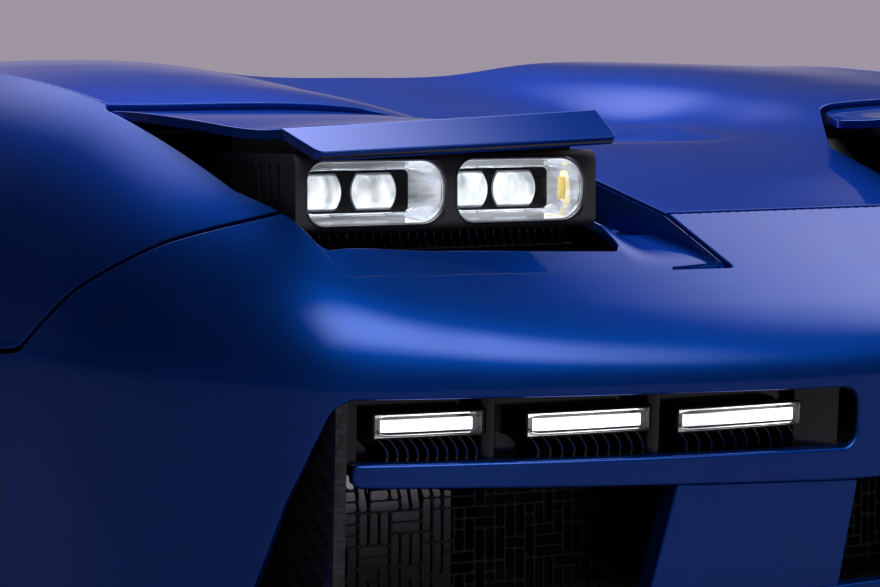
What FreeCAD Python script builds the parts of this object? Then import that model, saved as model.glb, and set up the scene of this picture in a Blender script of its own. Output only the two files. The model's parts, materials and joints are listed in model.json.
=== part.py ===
import FreeCAD, Part
import math
import os
from bisect import bisect
from FreeCAD import Vector

# Nose section of a mid-engined supercar, from the nose tip to the bulkhead behind the front wheels.
# Painted composite skin, a bonnet hinged at the windscreen, two lamps that rise out of the nose on
# hinges, three daylight lamps in a slot on each side, intakes with mesh, and the frame that carries it.
# Millimetres. X is across the car, -Y points forward, +Z up. The origin is the centre of the four
# bolts that hold the frame to the cabin's bulkhead.

# Places are written as (out, back, height): out from the centre line, back from the nose datum and
# height above the road. BULKHEAD_BACK and MOUNT_HEIGHT carry them into the frame of the part.
BULKHEAD_BACK = 1300.0
MOUNT_HEIGHT = 400.0

# Skin and shut lines
SKIN = 4.0
GAP = 5.0
SEAT = 0.3
SILL_HEIGHT = 150.0
NOSE_LOW = 168.0
SKIN_REAR = 1296.0
FLANGE_DEEP = 12.0
FLANGE_WIDE = 3.0
COLUMNS = 4
ROWS = 20
BEYOND_CREST = 30.0

# Front wheel well
WHEEL_BACK = 1000.0
WHEEL_HEIGHT = 340.0
ARCH_RADIUS = 370.0
LINER_THICK = 3.0
LINER_IN = 560.0
AXLE_HOLE = 120.0

# Bonnet and its hinge line
HINGE_BACK = 1246.0
HINGE_HEIGHT = 776.0
HINGE_OUT = 474.0
HINGE_PIN = 5.0
HINGE_BOSS = 10.0
HINGE_PLATE = 8.0
BONNET_FRONT = 296.0
BONNET_REAR = 1222.0
FRAME_DEEP = 18.0
COWL_DROP = 25.0
COWL_FRONT = 1232.0
COWL_THICK = 3.0
RUN_FIT = 0.05

# Rising lamps: the hinge line and the angle they stand up by
LIFT_BACK = 628.0
LIFT_HEIGHT = 722.0
LIFT_ANGLE = 16.0
LIFT_SHAFT = 6.0
LIFT_BOSS = 9.0
LIFT_ARMS = (452.0, 700.0)
LIFT_ENDS = (430.0, 786.0)
ARM_WIDE = 8.0
BRACKET_WIDE = 6.0

# Closed lid: the fold over the lamp and the lip below it as (out, back) at the two ends, their
# heights, and the place behind which the lid follows the deck
LID_FOLD = ((360.0, 291.0), (760.0, 357.0))
LID_FOLD_HEIGHT = 653.0
LID_LIP = ((355.0, 258.0), (758.0, 305.0))
LID_LIP_HEIGHT = 611.0
LID_SETTLE = 480.0
LID_REACH = (250.0, 830.0)
LID_SLOPE = 0.18

# Lamp housing: its front corners in plan, its height and depth, and the lamp units in its face
POD_OUT = 765.0
POD_IN = 352.0
POD_FRONT_OUT = 322.0
POD_FRONT_IN = 284.0
POD_BOTTOM = 612.0
POD_TOP = 702.0
POD_DEEP = 185.0
POD_CORNER = 12.0
LENS_LOW = 621.0
LENS_HIGH = 693.0
LENS_DEEP = 52.0
LENS_CORNER = 16.0
COVER_SET = 3.0
COVER_THICK = 3.0
BULB_RADIUS = 30.0
LENS_SET = 12.0
LENS_DOME = 42.0
LOUVRES = 7
LOUVRE_DEEP = 3.0
VANE_HIGH = 22.0
VANES = 15
LENS_UNITS = [
    dict(inner=18.0, outer=198.0),
    dict(inner=214.0, outer=400.0),
]

# Lamp well under the rising lamp
WELL_FLOOR = 478.0
WELL_WALL = 3.0
LEDGE_TOP = 9.0
LEDGE_DROP = 12.0
LEDGE_BACK = (300.0, 350.0)
REAR_DROP = 20.0
REAR_BACK = (600.0, 640.0)
WELL_REAR = 662.0
SCOOP_DEEP = 34.0
SCOOP_OUT = (345.0, 285.0)
SCOOP_BACK = (215.0, 350.0)
MOTOR_RADIUS = 24.0
MOTOR_OUT = (450.0, 520.0)

# Lamp slot and intakes, measured on the front of the nose
SLOT_OUT = 788.0
SLOT_IN = 130.0
SLOT_WALL = 3.0
SLOT_DEEP = 60.0
LAMP_SET = 14.0
LAMP_CORNER = 4.0
LAMP_HIGH = 24.0
FIN_SET = 20.0
FINS = 5
BLADE_OUT = 802.0
BLADE_THICK = 11.0
BLADE_DEEP = 130.0
INTAKE_LOW = 188.0
STRAKE_SET = 3.0
STRAKE_DEEP = 34.0
MESH_BACK = 96.0
MESH_BAR = 5.0
MESH_PITCH = 34.0

# Splitter and undertray
SPLITTER_OUT = 28.0
SPLITTER_THICK = 12.0
SPLITTER_IN = 150.0
TRAY_THICK = 3.0
TRAY_CORNER = 560.0

# Frame
RAIL_OUT = 350.0
RAIL_WIDE = 60.0
RAIL_HIGH = 90.0
RAIL_WALL = 4.0
RAIL_FRONT = 300.0
BOLTS_HIGH = 160.0
BOLT_HOLE = 6.5
PLATE = 12.0
PLATE_WIDE = 110.0
PLATE_HIGH = 220.0
BEAM_DEEP = 38.0
BEAM_HIGH = 90.0
TOWER = dict(front=920.0, rear=1080.0, top=690.0, wall=4.0)
HOOP_LOW = 706.0
HOOP_HIGH = 736.0
HOOP_DEEP = 30.0
HOOP_REAR = BULKHEAD_BACK - PLATE
TUB = dict(front=460.0, neck=285.0, widen=(540.0, 620.0), rear=1150.0, low=262.0, high=626.0, wall=3.0, corner=40.0)
RADIATOR = dict(inner=150.0, outer=560.0, low=196.0, deep=52.0)

# One row for each section of the skirt, from the centre line round the corner to the door.
# top: out, back, height. heading: turn from straight ahead, in degrees. reach: top edge to the
# shoulder corner. corner: its height. sill: top edge to the lower edge. up, down: share of each
# side that the rounding of the corner takes.
SKIRT = [
    dict(top=(0, 290, 622), heading=0, reach=235, corner=478, sill=213, up=0.32, down=0.13),
    dict(top=(220, 290, 622), heading=2, reach=222, corner=478, sill=204, up=0.32, down=0.13),
    dict(top=(400, 290, 622), heading=5, reach=198, corner=482, sill=184, up=0.34, down=0.13),
    dict(top=(600, 290, 622), heading=10, reach=155, corner=492, sill=144, up=0.38, down=0.15),
    dict(top=(762, 298, 625), heading=32, reach=108, corner=515, sill=98, up=0.55, down=0.20),
    dict(top=(790, 400, 664), heading=62, reach=142, corner=565, sill=128, up=0.80, down=0.28),
    dict(top=(800, 660, 757), heading=86, reach=176, corner=640, sill=158, up=0.94, down=0.38),
    dict(top=(800, 1000, 801), heading=90, reach=186, corner=680, sill=164, up=0.94, down=0.38),
    dict(top=(792, SKIN_REAR, 802), heading=90, reach=194, corner=700, sill=172, up=0.94, down=0.38),
]
CORNER_ROW = 4

# One row for each section of the deck, from the fold above the lamps to the windscreen.
# Each pair is (out, height): inner edge of the wing's shoulder and foot of the ramp.
DECK = [
    dict(back=290, shoulder=(500, 622), ramp=(200, 622), centre=622),
    dict(back=450, shoulder=(450, 683), ramp=(200, 676), centre=674),
    dict(back=560, shoulder=(420, 720), ramp=(200, 702), centre=699),
    dict(back=680, shoulder=(390, 752), ramp=(190, 713), centre=707),
    dict(back=830, shoulder=(360, 768), ramp=(180, 718), centre=711),
    dict(back=1000, shoulder=(345, 786), ramp=(180, 747), centre=742),
    dict(back=SKIN_REAR, shoulder=(330, 812), ramp=(180, 803), centre=801),
]

# Outlines. Plan outlines are (out, back, corner radius), front ones (out, height, corner radius)
# and side ones (back, height, corner radius).
LID_PLAN = [(800, 640, 10), (797, 560, 0), (784, 470, 0), (772, 400, 0), (764, 350, 0), (758, 305, 12),
            (355, 258, 5), (350, 300, 0), (300, 400, 0), (276, 500, 30), (400, 640, 60)]
OPENING_PLAN = [(805, 654, 14), (802, 560, 0), (794, 400, 0), (771, 296, 0), (757, 240, 16), (400, 207, 0),
                (209, 197, 3), (240, 352, 0), (266, 500, 34), (398, 654, 60)]
WELL_PLAN = [(782, WELL_REAR, 14), (779, 400, 0), (767, 300, 10), (752, 280, 12), (420, 256, 0), (340, 250, 14),
             (306, 480, 30), (410, WELL_REAR, 40)]
SILL_PLAN = [(150, 100, 0), (830, 100, 0), (830, 300, 0), (345, 268, 0), (320, 380, 0), (150, 380, 0)]
CREST_SIDE = [(788, 700, 0), (788, 560, 0), (785, 400, 0), (771, 300, 0), (740, 190, 0), (900, 190, 0),
              (900, 700, 0)]
SLOT_FRONT = [(SLOT_OUT, 438, 4), (SLOT_OUT, 368, 4), (SLOT_IN, 352, 22), (SLOT_IN, 423, 22)]
DUCT_FRONT = [(SLOT_OUT - 1, 438, 0), (806, 428, 30), (822, 385, 60), (842, 325, 80), (864, 225, 40),
              (868, INTAKE_LOW, 10), (SLOT_OUT - 1, INTAKE_LOW, 0)]
INTAKE_FRONT = [(0, 308, 0), (140, 313, 60), (SLOT_OUT, 341, 0), (SLOT_OUT, INTAKE_LOW, 0), (0, INTAKE_LOW, 0)]
STRAKE_FRONT = [(384, 350, 0), (116, 350, 0), (150, 160, 0), (436, 160, 0)]
SEAM_SIDE = [(250, 700, 0), (292, 652, 0), (406, 603, 90), (500, 547, 120), (585, 474, 40), (720, 462, 0)]
DAYLIGHT_LAMPS = [
    dict(inner=636, outer=748, height=407),
    dict(inner=427, outer=570, height=401),
    dict(inner=212, outer=375, height=396),
]


def at(out, back, height):
    return Vector(out, back - BULKHEAD_BACK, height - MOUNT_HEIGHT)


def mirrored(shape):
    return shape.mirror(Vector(0, 0, 0), Vector(1, 0, 0))


def rounded_wire(points, place):
    """A closed wire through corners (a, b, radius); place turns a, b into a Vector."""
    count = len(points)
    runs = []
    for i, (a, b, radius) in enumerate(points):
        before, after = points[i - 1], points[(i + 1) % count]
        corner = Vector(a, b, 0)
        to_before = (Vector(before[0], before[1], 0) - corner).normalize()
        to_after = (Vector(after[0], after[1], 0) - corner).normalize()
        half = to_before.getAngle(to_after) / 2
        if radius <= 0 or half > math.radians(89.5):
            runs.append((corner, None, corner))
            continue
        room = 0.45 * min(corner.distanceToPoint(Vector(*p[:2], 0)) for p in (before, after))
        cut = min(radius / math.tan(half), room)
        radius = cut * math.tan(half)
        middle = corner + (to_before + to_after).normalize() * (radius / math.sin(half) - radius)
        runs.append((corner + to_before * cut, middle, corner + to_after * cut))
    edges = []
    for i, (start, middle, end) in enumerate(runs):
        if middle is not None:
            edges.append(Part.Arc(place(start), place(middle), place(end)).toShape())
        following = runs[(i + 1) % count][0]
        if end.distanceToPoint(following) > 1e-6:
            edges.append(Part.LineSegment(place(end), place(following)).toShape())
    return Part.Wire(edges)


def plan_prism(points, low, high):
    wire = rounded_wire(points, lambda p: at(p.x, p.y, low))
    return Part.Face(wire).extrude(Vector(0, 0, high - low))


def front_prism(points, front, rear):
    wire = rounded_wire(points, lambda p: at(p.x, front, p.y))
    return Part.Face(wire).extrude(Vector(0, rear - front, 0))


def side_prism(points, inner, outer):
    wire = rounded_wire(points, lambda p: at(inner, p.x, p.y))
    return Part.Face(wire).extrude(Vector(outer - inner, 0, 0))


def box(out, back, height):
    """A block from three (low, high) pairs."""
    size = [high - low for low, high in (out, back, height)]
    return Part.makeBox(*size, at(out[0], back[0], height[0]))


def rod(radius, start, end):
    along = end - start
    return Part.makeCylinder(radius, along.Length, start, along)


def grown(points, amount):
    """The outline moved outwards by amount, or inwards if it is negative."""
    count = len(points)
    area = sum(points[i - 1][0] * points[i][1] - points[i][0] * points[i - 1][1] for i in range(count))
    side = 1 if area > 0 else -1
    moved = []
    for i, (a, b, radius) in enumerate(points):
        before, after = points[i - 1], points[(i + 1) % count]
        first = Vector(a - before[0], b - before[1], 0).normalize()
        second = Vector(after[0] - a, after[1] - b, 0).normalize()
        n1 = Vector(first.y, -first.x, 0) * side
        n2 = Vector(second.y, -second.x, 0) * side
        shift = (n1 + n2) * (amount / (1 + n1.dot(n2)))
        moved.append((a + shift.x, b + shift.y, max(radius + amount, 0) if radius else 0))
    return moved


def smooth(knots, values):
    """A smooth function through the values at the knots, with parabolic slopes between neighbours."""
    steps = [b - a for a, b in zip(knots, knots[1:])]
    rises = [(b - a) / h for a, b, h in zip(values, values[1:], steps)]
    slopes = [rises[0]]
    for i in range(1, len(steps)):
        before, after = steps[i - 1], steps[i]
        slopes.append((after * rises[i - 1] + before * rises[i]) / (before + after))
    slopes.append(rises[-1])

    def value(t):
        i = min(max(bisect(knots, t) - 1, 0), len(steps) - 1)
        h = steps[i]
        s = (t - knots[i]) / h
        start = values[i] * (1 + 2 * s) * (1 - s) ** 2 + slopes[i] * h * s * (1 - s) ** 2
        return start + values[i + 1] * s * s * (3 - 2 * s) + slopes[i + 1] * h * s * s * (s - 1)

    return value


def skirt_lines():
    """Smooth lines of the skirt from door to door, and the run of each row along it."""
    rows = []
    for side, table in ((-1, SKIRT[:0:-1]), (1, SKIRT)):
        for row in table:
            out, back, height = row["top"]
            turn = math.radians(row["heading"])
            east, north = math.sin(turn), -math.cos(turn)
            reach, sill = row["reach"], row["sill"]
            rows.append(dict(
                top=Vector(side * out, back, height),
                corner=Vector(side * (out + east * reach), back + north * reach, row["corner"]),
                sill=Vector(side * (out + east * sill), back + north * sill, SILL_HEIGHT),
                up=row["up"], down=row["down"]))
    runs = [0.0]
    for before, after in zip(rows, rows[1:]):
        runs.append(runs[-1] + before["corner"].distanceToPoint(after["corner"]))
    lines = {}
    for name in ("top", "corner", "sill"):
        parts = [smooth(runs, [getattr(row[name], axis) for row in rows]) for axis in "xyz"]
        lines[name] = lambda t, parts=parts: Vector(*[part(t) for part in parts])
    for name in ("up", "down"):
        lines[name] = smooth(runs, [row[name] for row in rows])
    return lines, runs


LINES, RUNS = skirt_lines()
MIDDLE = len(SKIRT) - 1
STATIONS = [RUNS[i] + (RUNS[i + 1] - RUNS[i]) * k / COLUMNS for i in range(len(RUNS) - 1) for k in range(COLUMNS)]
STATIONS.append(RUNS[-1])


def skirt_path(run):
    """Close places down the painted face of the skirt at one run, and their distances from the top."""
    top, corner, sill = LINES["top"](run), LINES["corner"](run), LINES["sill"](run)
    start = corner + (top - corner) * LINES["up"](run)
    end = corner + (sill - corner) * LINES["down"](run)
    path = [top]
    for k in range(25):
        s = k / 24
        path.append(start * (1 - s) ** 2 + corner * (2 * s * (1 - s)) + end * s * s)
    path.append(sill)
    lengths = [0.0]
    for a, b in zip(path, path[1:]):
        lengths.append(lengths[-1] + a.distanceToPoint(b))
    return path, lengths


def skirt_place(run, distance):
    """The place on the painted face of the skirt at a distance down from its top edge."""
    path, lengths = skirt_path(run)
    i = min(max(bisect(lengths, distance) - 1, 0), len(path) - 2)
    return path[i] + (path[i + 1] - path[i]) * ((distance - lengths[i]) / (lengths[i + 1] - lengths[i]))


def skirt_section(run):
    """Evenly spaced places down the painted face of the skirt, at one run along it."""
    long = skirt_path(run)[1][-1]
    return [skirt_place(run, long * k / ROWS) for k in range(ROWS + 1)]


def crossing(back):
    """The run at which the top edge of the skirt passes a distance back, on the left side."""
    low, high = RUNS[MIDDLE + CORNER_ROW], RUNS[-1]
    for _ in range(50):
        middle = (low + high) / 2
        if LINES["top"](middle).y < back:
            low = middle
        else:
            high = middle
    return (low + high) / 2


def deck_height():
    """The height of the deck as a function of the place across and back, from its table."""
    backs = [row["back"] for row in DECK]
    lines = {}
    for name in ("shoulder", "ramp"):
        lines[name] = [smooth(backs, [row[name][i] for row in DECK]) for i in (0, 1)]
    centre = smooth(backs, [row["centre"] for row in DECK])

    def height(out, back, edge):
        half = [(line[0](back), line[1](back)) for line in (lines["ramp"], lines["shoulder"])]
        half.append((edge.x, edge.z))
        across = [(-x, z) for x, z in reversed(half)] + [(0, centre(back))] + half
        return smooth([x for x, z in across], [z for x, z in across])(out)

    return height


def deck_grid():
    """Places on the painted face of the deck, in rows from the fold to the windscreen."""
    height = deck_height()
    front_run = RUNS[MIDDLE + CORNER_ROW]
    corner = LINES["top"](front_run)
    backs = [corner.y + 8, 320, 345]
    backs += [corner.y + (SKIN_REAR - corner.y) * k / 18 for k in range(2, 19)]
    grid = []
    for back in [corner.y] + backs:
        edge = LINES["top"](crossing(back)) if back > corner.y else corner
        fade = max(0.0, 1 - (back - corner.y) / 200.0)
        row = []
        for k in range(-16, 17):
            share = k / 16
            front = LINES["top"](RUNS[MIDDLE] + (front_run - RUNS[MIDDLE]) * abs(share))
            out = math.copysign(front.x, share) * edge.x / corner.x
            deep = back + (front.y - corner.y) * fade
            row.append(Vector(out, deep, height(out, max(deep, DECK[0]["back"]), edge)))
        grid.append(row)
    for k in range(33):
        front = LINES["top"](RUNS[MIDDLE] + (front_run - RUNS[MIDDLE]) * (k - 16) / 16)
        grid[0][k] = front
    return grid


def normals(grid, facing):
    """Unit normals at the places of a grid, on the side of the Vector that facing gives."""
    rows, columns = len(grid), len(grid[0])
    result = []
    for i in range(rows):
        line = []
        for j in range(columns):
            down = grid[min(i + 1, rows - 1)][j] - grid[max(i - 1, 0)][j]
            along = grid[i][min(j + 1, columns - 1)] - grid[i][max(j - 1, 0)]
            normal = down.cross(along).normalize()
            line.append(normal if normal.dot(facing(grid[i][j])) > 0 else normal * -1)
        result.append(line)
    return result


def moved(grid, directions, distance):
    return [[p + d * distance for p, d in zip(*rows)] for rows in zip(grid, directions)]


def ramp(value, ends):
    """A smooth step from 0 at the first end to 1 at the second."""
    share = min(max((value - ends[0]) / (ends[1] - ends[0]), 0.0), 1.0)
    return share * share * (3 - 2 * share)


def block_between(first, second):
    """A solid between two grids of places, closed by ruled sides."""
    faces, borders = [], []
    for grid in (first, second):
        surface = Part.BSplineSurface()
        surface.interpolate([[at(p.x, p.y, p.z) for p in row] for row in grid])
        faces.append(surface.toShape())
        u0, u1, v0, v1 = surface.bounds()
        borders.append([surface.uIso(u0), surface.uIso(u1), surface.vIso(v0), surface.vIso(v1)])
    for a, b in zip(*borders):
        faces.append(Part.makeRuledSurface(a.toShape(), b.toShape()))
    shell = Part.Compound(faces)
    shell.sewShape()
    solid = Part.Solid(shell.Shells[0])
    return solid if solid.Volume > 0 else solid.reversed()


SKIRT_GRID = [skirt_section(run) for run in STATIONS]
SKIRT_IN = normals(SKIRT_GRID, lambda p: Vector(-p.x, 700 - p.y, 300 - p.z))
SKIRT_LEVEL = [[Vector(d.x, d.y, 0).normalize() for d in [row[-1]] * len(row)] for row in SKIRT_IN]
DECK_GRID = deck_grid()
DECK_IN = normals(DECK_GRID, lambda p: Vector(0, 0, -1))


def lamp_grid():
    """Places over the left lamp: the front of the deck, and the band of skirt below its fold."""
    front = RUNS[MIDDLE + CORNER_ROW] - RUNS[MIDDLE]
    band = [[skirt_place(RUNS[MIDDLE] + front * k / 16, distance) for k in range(0, 17)]
            for distance in (165, 140, 115, 92, 70, 50, 32, 16)]
    rows = band + [row[16:] for row in DECK_GRID[:14]]
    return [row + [row[-1] + (row[-1] - row[-2]).normalize() * BEYOND_CREST] for row in rows]


def lid_grid():
    """Places on the closed left lid: a face that leans down to the lip in front of a crisp fold, and
    behind it a top that settles into the deck."""
    deck_at = deck_height()

    def deck(out, back):
        edge = LINES["top"](crossing(back))
        return Vector(out, back, deck_at(min(out, edge.x), back, edge))

    def line(ends, out):
        (x0, y0), (x1, y1) = ends
        return y0 + (out - x0) * (y1 - y0) / (x1 - x0)

    outs = [LID_REACH[0] + (LID_REACH[1] - LID_REACH[0]) * k / 15 for k in range(16)]
    grid = []
    for share in (1.8, 1.4, 1.0, 0.6, 0.3, 0.1, 0.0):
        height = LID_FOLD_HEIGHT + (LID_LIP_HEIGHT - LID_FOLD_HEIGHT) * share
        grid.append([Vector(out, line(LID_FOLD, out) * (1 - share) + line(LID_LIP, out) * share, height)
                     for out in outs])
    for share in (0.05, 0.15, 0.3, 0.5, 0.7, 0.85, 1.0):
        row = []
        for out in outs:
            front, rear = line(LID_FOLD, out), deck(out, LID_SETTLE)
            long = LID_SETTLE - front
            slope = (deck(out, LID_SETTLE + 5).z - deck(out, LID_SETTLE - 5).z) / 10
            start = LID_FOLD_HEIGHT * (1 + 2 * share) * (1 - share) ** 2 + LID_SLOPE * long * share * (1 - share) ** 2
            end = rear.z * share * share * (3 - 2 * share) + slope * long * share * share * (share - 1)
            row.append(Vector(out, front + long * share, start + end))
        grid.append(row)
    return grid + [[deck(out, back) for out in outs] for back in (505, 530, 560, 590, 620, 650, 680)]


def sill_depth(place):
    """How deep the sill lies under the body: level in front of the lamp, deeper in the scoop beside it,
    under the rim of the lid and behind its hinge."""
    scoop = SCOOP_DEEP * ramp(place.x, SCOOP_OUT) * ramp(place.y, SCOOP_BACK)
    under_lid = LEDGE_DROP * ramp(place.y, LEDGE_BACK) + REAR_DROP * ramp(place.y, REAR_BACK)
    return LEDGE_TOP + max(scoop, under_lid)


LAMP_GRID = lamp_grid()
LAMP_IN = normals(LAMP_GRID, lambda p: Vector(0, 0, -1))
LID_GRID = lid_grid()
LID_IN = normals(LID_GRID, lambda p: Vector(0, 0, -1))


def skirt(outside, inside):
    """The skirt of the body between two depths under its painted face, from door to door."""
    return block_between(moved(SKIRT_GRID, SKIRT_IN, outside), moved(SKIRT_GRID, SKIRT_IN, inside))


def deck(outside, inside):
    """The top of the body between two depths under its painted face, from the fold to the windscreen."""
    return block_between(moved(DECK_GRID, DECK_IN, outside), moved(DECK_GRID, DECK_IN, inside))


def nose_band(outside, inside):
    """The left half of the nose between two depths measured level, straight back from its face."""
    some = slice(MIDDLE * COLUMNS - 2, (MIDDLE + 6) * COLUMNS)
    face, level = SKIRT_GRID[some], SKIRT_LEVEL[some]
    return block_between(moved(face, level, outside), moved(face, level, inside))


def deck_block(depth):
    """Everything under the deck that lies deeper than depth under its painted face."""
    return down_from(moved(DECK_GRID, DECK_IN, depth))


def down_from(face):
    """Everything below a face, down to the lower edge of the skirt."""
    return block_between(face, [[Vector(p.x, p.y, SILL_HEIGHT) for p in row] for row in face])


def lamp_block(depth):
    """Everything over the left lamp that lies deeper than depth under the painted face of the body."""
    return down_from(moved(LAMP_GRID, LAMP_IN, depth))


def lid_block(depth):
    """Everything that lies deeper than depth under the painted face of the closed left lid."""
    return down_from(moved(LID_GRID, LID_IN, depth))


def sill_block(depth):
    """Everything that lies deeper than depth under the painted sill round the left lamp."""
    return down_from([[p + d * (sill_depth(p) + depth) for p, d in zip(*rows)] for rows in zip(LAMP_GRID, LAMP_IN)])


def skirt_block(depth):
    """The space behind the left half of the skirt, deeper than depth under its painted face."""
    some = slice((MIDDLE + 2) * COLUMNS, None)
    low = moved(SKIRT_GRID, SKIRT_IN, depth)[some]
    curtain = [[Vector(row[0].x, row[0].y, p.z) + d * 70 for p, d in zip(row, level)]
               for row, level in zip(low, SKIRT_LEVEL[some])]
    return block_between(low, curtain)


PIECES = {}


def save(name, shape):
    solids = shape.Solids
    made = solids[0] if len(solids) == 1 else Part.makeCompound(solids)
    PIECES[name] = made
    made.exportStep(os.path.join("parts", name + ".step"))


def save_pair(name, left):
    """The left piece as it is, and the right one mirrored in the car's middle plane."""
    save(name + "_l", left)
    save(name + "_r", mirrored(left))


def both(shape):
    return shape.fuse(mirrored(shape))


def clean(shape):
    """The largest solid of a cut, without slivers."""
    solids = sorted(shape.Solids, key=lambda s: s.Volume)
    return solids[-1]


def raised(shape):
    """A closed lamp piece turned up about the lift hinge into the open position."""
    turned = shape.copy()
    turned.rotate(at(0, LIFT_BACK, LIFT_HEIGHT), Vector(1, 0, 0), -LIFT_ANGLE)
    return turned


def pod_set(shape):
    """Turns a lamp piece built square to the car in line with the face of the lamp housing."""
    turn = math.degrees(math.atan2(POD_FRONT_OUT - POD_FRONT_IN, POD_OUT - POD_IN))
    turned = shape.copy()
    turned.rotate(at(POD_IN, POD_FRONT_IN, 0), Vector(0, 0, 1), turn)
    return turned


def pod_box(along, deep, high):
    """A block by its place along the face of the lamp housing, behind it, and its height."""
    return box([POD_IN + v for v in along], [POD_FRONT_IN + v for v in deep], high)


def pod_front(points, front, rear):
    return front_prism([(POD_IN + a, b, r) for a, b, r in points], POD_FRONT_IN + front, POD_FRONT_IN + rear)


def arch(radius, inner, outer):
    return Part.makeCylinder(radius, outer - inner, at(inner, WHEEL_BACK, WHEEL_HEIGHT), Vector(1, 0, 0))


LOW, HIGH = 100.0, 900.0
LAMP_LOW = 480.0
POD_LONG = math.hypot(POD_OUT - POD_IN, POD_FRONT_OUT - POD_FRONT_IN)


def lamp_opening(more):
    """The space that the skin leaves for the left lid, wider behind it, where the lid swings back."""
    return plan_prism(grown(OPENING_PLAN, more) if more else OPENING_PLAN, LOW, HIGH)


def build_skin():
    """Nose cover, wings, bonnet and lamp lids, cut from the same two faces of the body."""
    skirt_skin = skirt(0, SKIN)
    opening = lamp_opening(0)
    wheel = arch(ARCH_RADIUS, LINER_IN, 1100)
    nose_side = [(-80, NOSE_LOW, 0), (-80, 700, 0)] + SEAM_SIDE + [(720, NOSE_LOW, 0)]
    side_mouths = front_prism(SLOT_FRONT, -100, 700).fuse(front_prism(DUCT_FRONT, -100, 700))
    upper = INTAKE_FRONT[1:-1]
    intake = upper + [(-a, b, r) for a, b, r in reversed(upper)]
    mouths = front_prism(intake, -100, 700).fuse([side_mouths, mirrored(side_mouths)]).removeSplitter()
    cuts = [opening, wheel, mirrored(opening), mirrored(wheel), mouths]

    nose = skirt_skin.common(side_prism(nose_side, -1100, 1100)).cut(cuts)
    save("nose_cover", clean(nose))

    behind = skirt_skin.common(box((300, 1100), (0, SKIN_REAR + 9), (LOW, HIGH)))
    wing = behind.cut([side_prism(grown(nose_side, GAP), -10, 1100), opening, wheel])
    save_pair("wing", clean(wing))

    side = [(LINES["top"](crossing(b)).x - GAP, b, 0) for b in (620, 760, 900, 1050, BONNET_REAR)]
    half = [(0, BONNET_FRONT, 0), (side[0][0], BONNET_FRONT, 0)] + side + [(0, BONNET_REAR, 0)]
    plan = plan_prism(half, LOW, HIGH)
    plan = plan.fuse(mirrored(plan))
    openings = [opening, mirrored(opening)]
    inner_half = [(0, BONNET_FRONT + FLANGE_WIDE, 0), (side[0][0] - FLANGE_WIDE, BONNET_FRONT + FLANGE_WIDE, 0)]
    inner_half += [(a - FLANGE_WIDE, b, r) for a, b, r in side[:-1]]
    inner_half += [(side[-1][0] - FLANGE_WIDE, BONNET_REAR - FLANGE_WIDE, 0), (0, BONNET_REAR - FLANGE_WIDE, 0)]
    inner_plan = plan_prism(inner_half, LOW, HIGH)
    inner_plan = inner_plan.fuse(mirrored(inner_plan))
    wide = lamp_opening(FLANGE_WIDE)
    inner_plan = inner_plan.cut([wide, mirrored(wide)])
    pocket = deck_block(SKIN).common(inner_plan)
    save("bonnet", clean(deck(0, FLANGE_DEEP).common(plan).cut(openings + [pocket])))

    lid_plan = plan_prism(LID_PLAN, LAMP_LOW, HIGH)
    lid_in = plan_prism(grown(LID_PLAN, -FLANGE_WIDE), LAMP_LOW - 10, HIGH)
    lid = lid_block(0).common(lid_plan).cut(lid_block(SKIN).common(lid_in)).cut(lid_block(FLANGE_DEEP))
    save_pair("lid", raised(clean(lid)))


def build_bonnet_frame():
    sheet = deck(SKIN + SEAT, FRAME_DEEP)
    edge = 60.0
    outline = [(0, 330, 0), (255, 330, 60), (255, 560, 60), (400, 690, 60), (730, 690, 60),
               (720, BONNET_REAR - 20, 60), (0, BONNET_REAR - 20, 0)]
    hole = [(0, 330 + edge, 0), (255 - edge, 330 + edge, 40), (255 - edge, 560 + edge, 60),
            (330, 690 + edge, 60), (730 - edge, 690 + edge, 40), (720 - edge, BONNET_REAR - 20 - edge, 40),
            (0, BONNET_REAR - 20 - edge, 0)]
    ring = plan_prism(outline, LOW, HIGH).cut(plan_prism(hole, LOW, HIGH))
    ribs = [box((-1, 30), (360, BONNET_REAR - 40), (LOW, HIGH)),
            plan_prism([(0, 690, 0), (40, 690, 0), (560, BONNET_REAR - 60, 0), (500, BONNET_REAR - 60, 0)], LOW, HIGH)]
    half = ring.fuse(ribs).cut(lamp_opening(FLANGE_WIDE + SEAT))
    save("bonnet_frame", sheet.common(both(half)))


def build_hinges():
    """Bonnet hinge arms; their brackets belong to the frame."""
    outline = [(HINGE_BACK + 9, HINGE_HEIGHT - 9, 8), (HINGE_BACK + 9, HINGE_HEIGHT + 9, 8),
               (HINGE_BACK - 26, HINGE_HEIGHT + 9, 0), (HINGE_BACK - 60, 830, 0), (HINGE_BACK - 190, 830, 0),
               (HINGE_BACK - 190, 770, 10), (HINGE_BACK - 60, HINGE_HEIGHT - 12, 20)]
    arm = side_prism(outline, HINGE_OUT - HINGE_PLATE / 2, HINGE_OUT + HINGE_PLATE / 2)
    arm = arm.common(deck_block(FRAME_DEEP))
    hole = rod(HINGE_PIN + RUN_FIT, at(HINGE_OUT - 20, HINGE_BACK, HINGE_HEIGHT),
               at(HINGE_OUT + 20, HINGE_BACK, HINGE_HEIGHT))
    save("bonnet_hinges", both(arm.cut(hole)))


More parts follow.
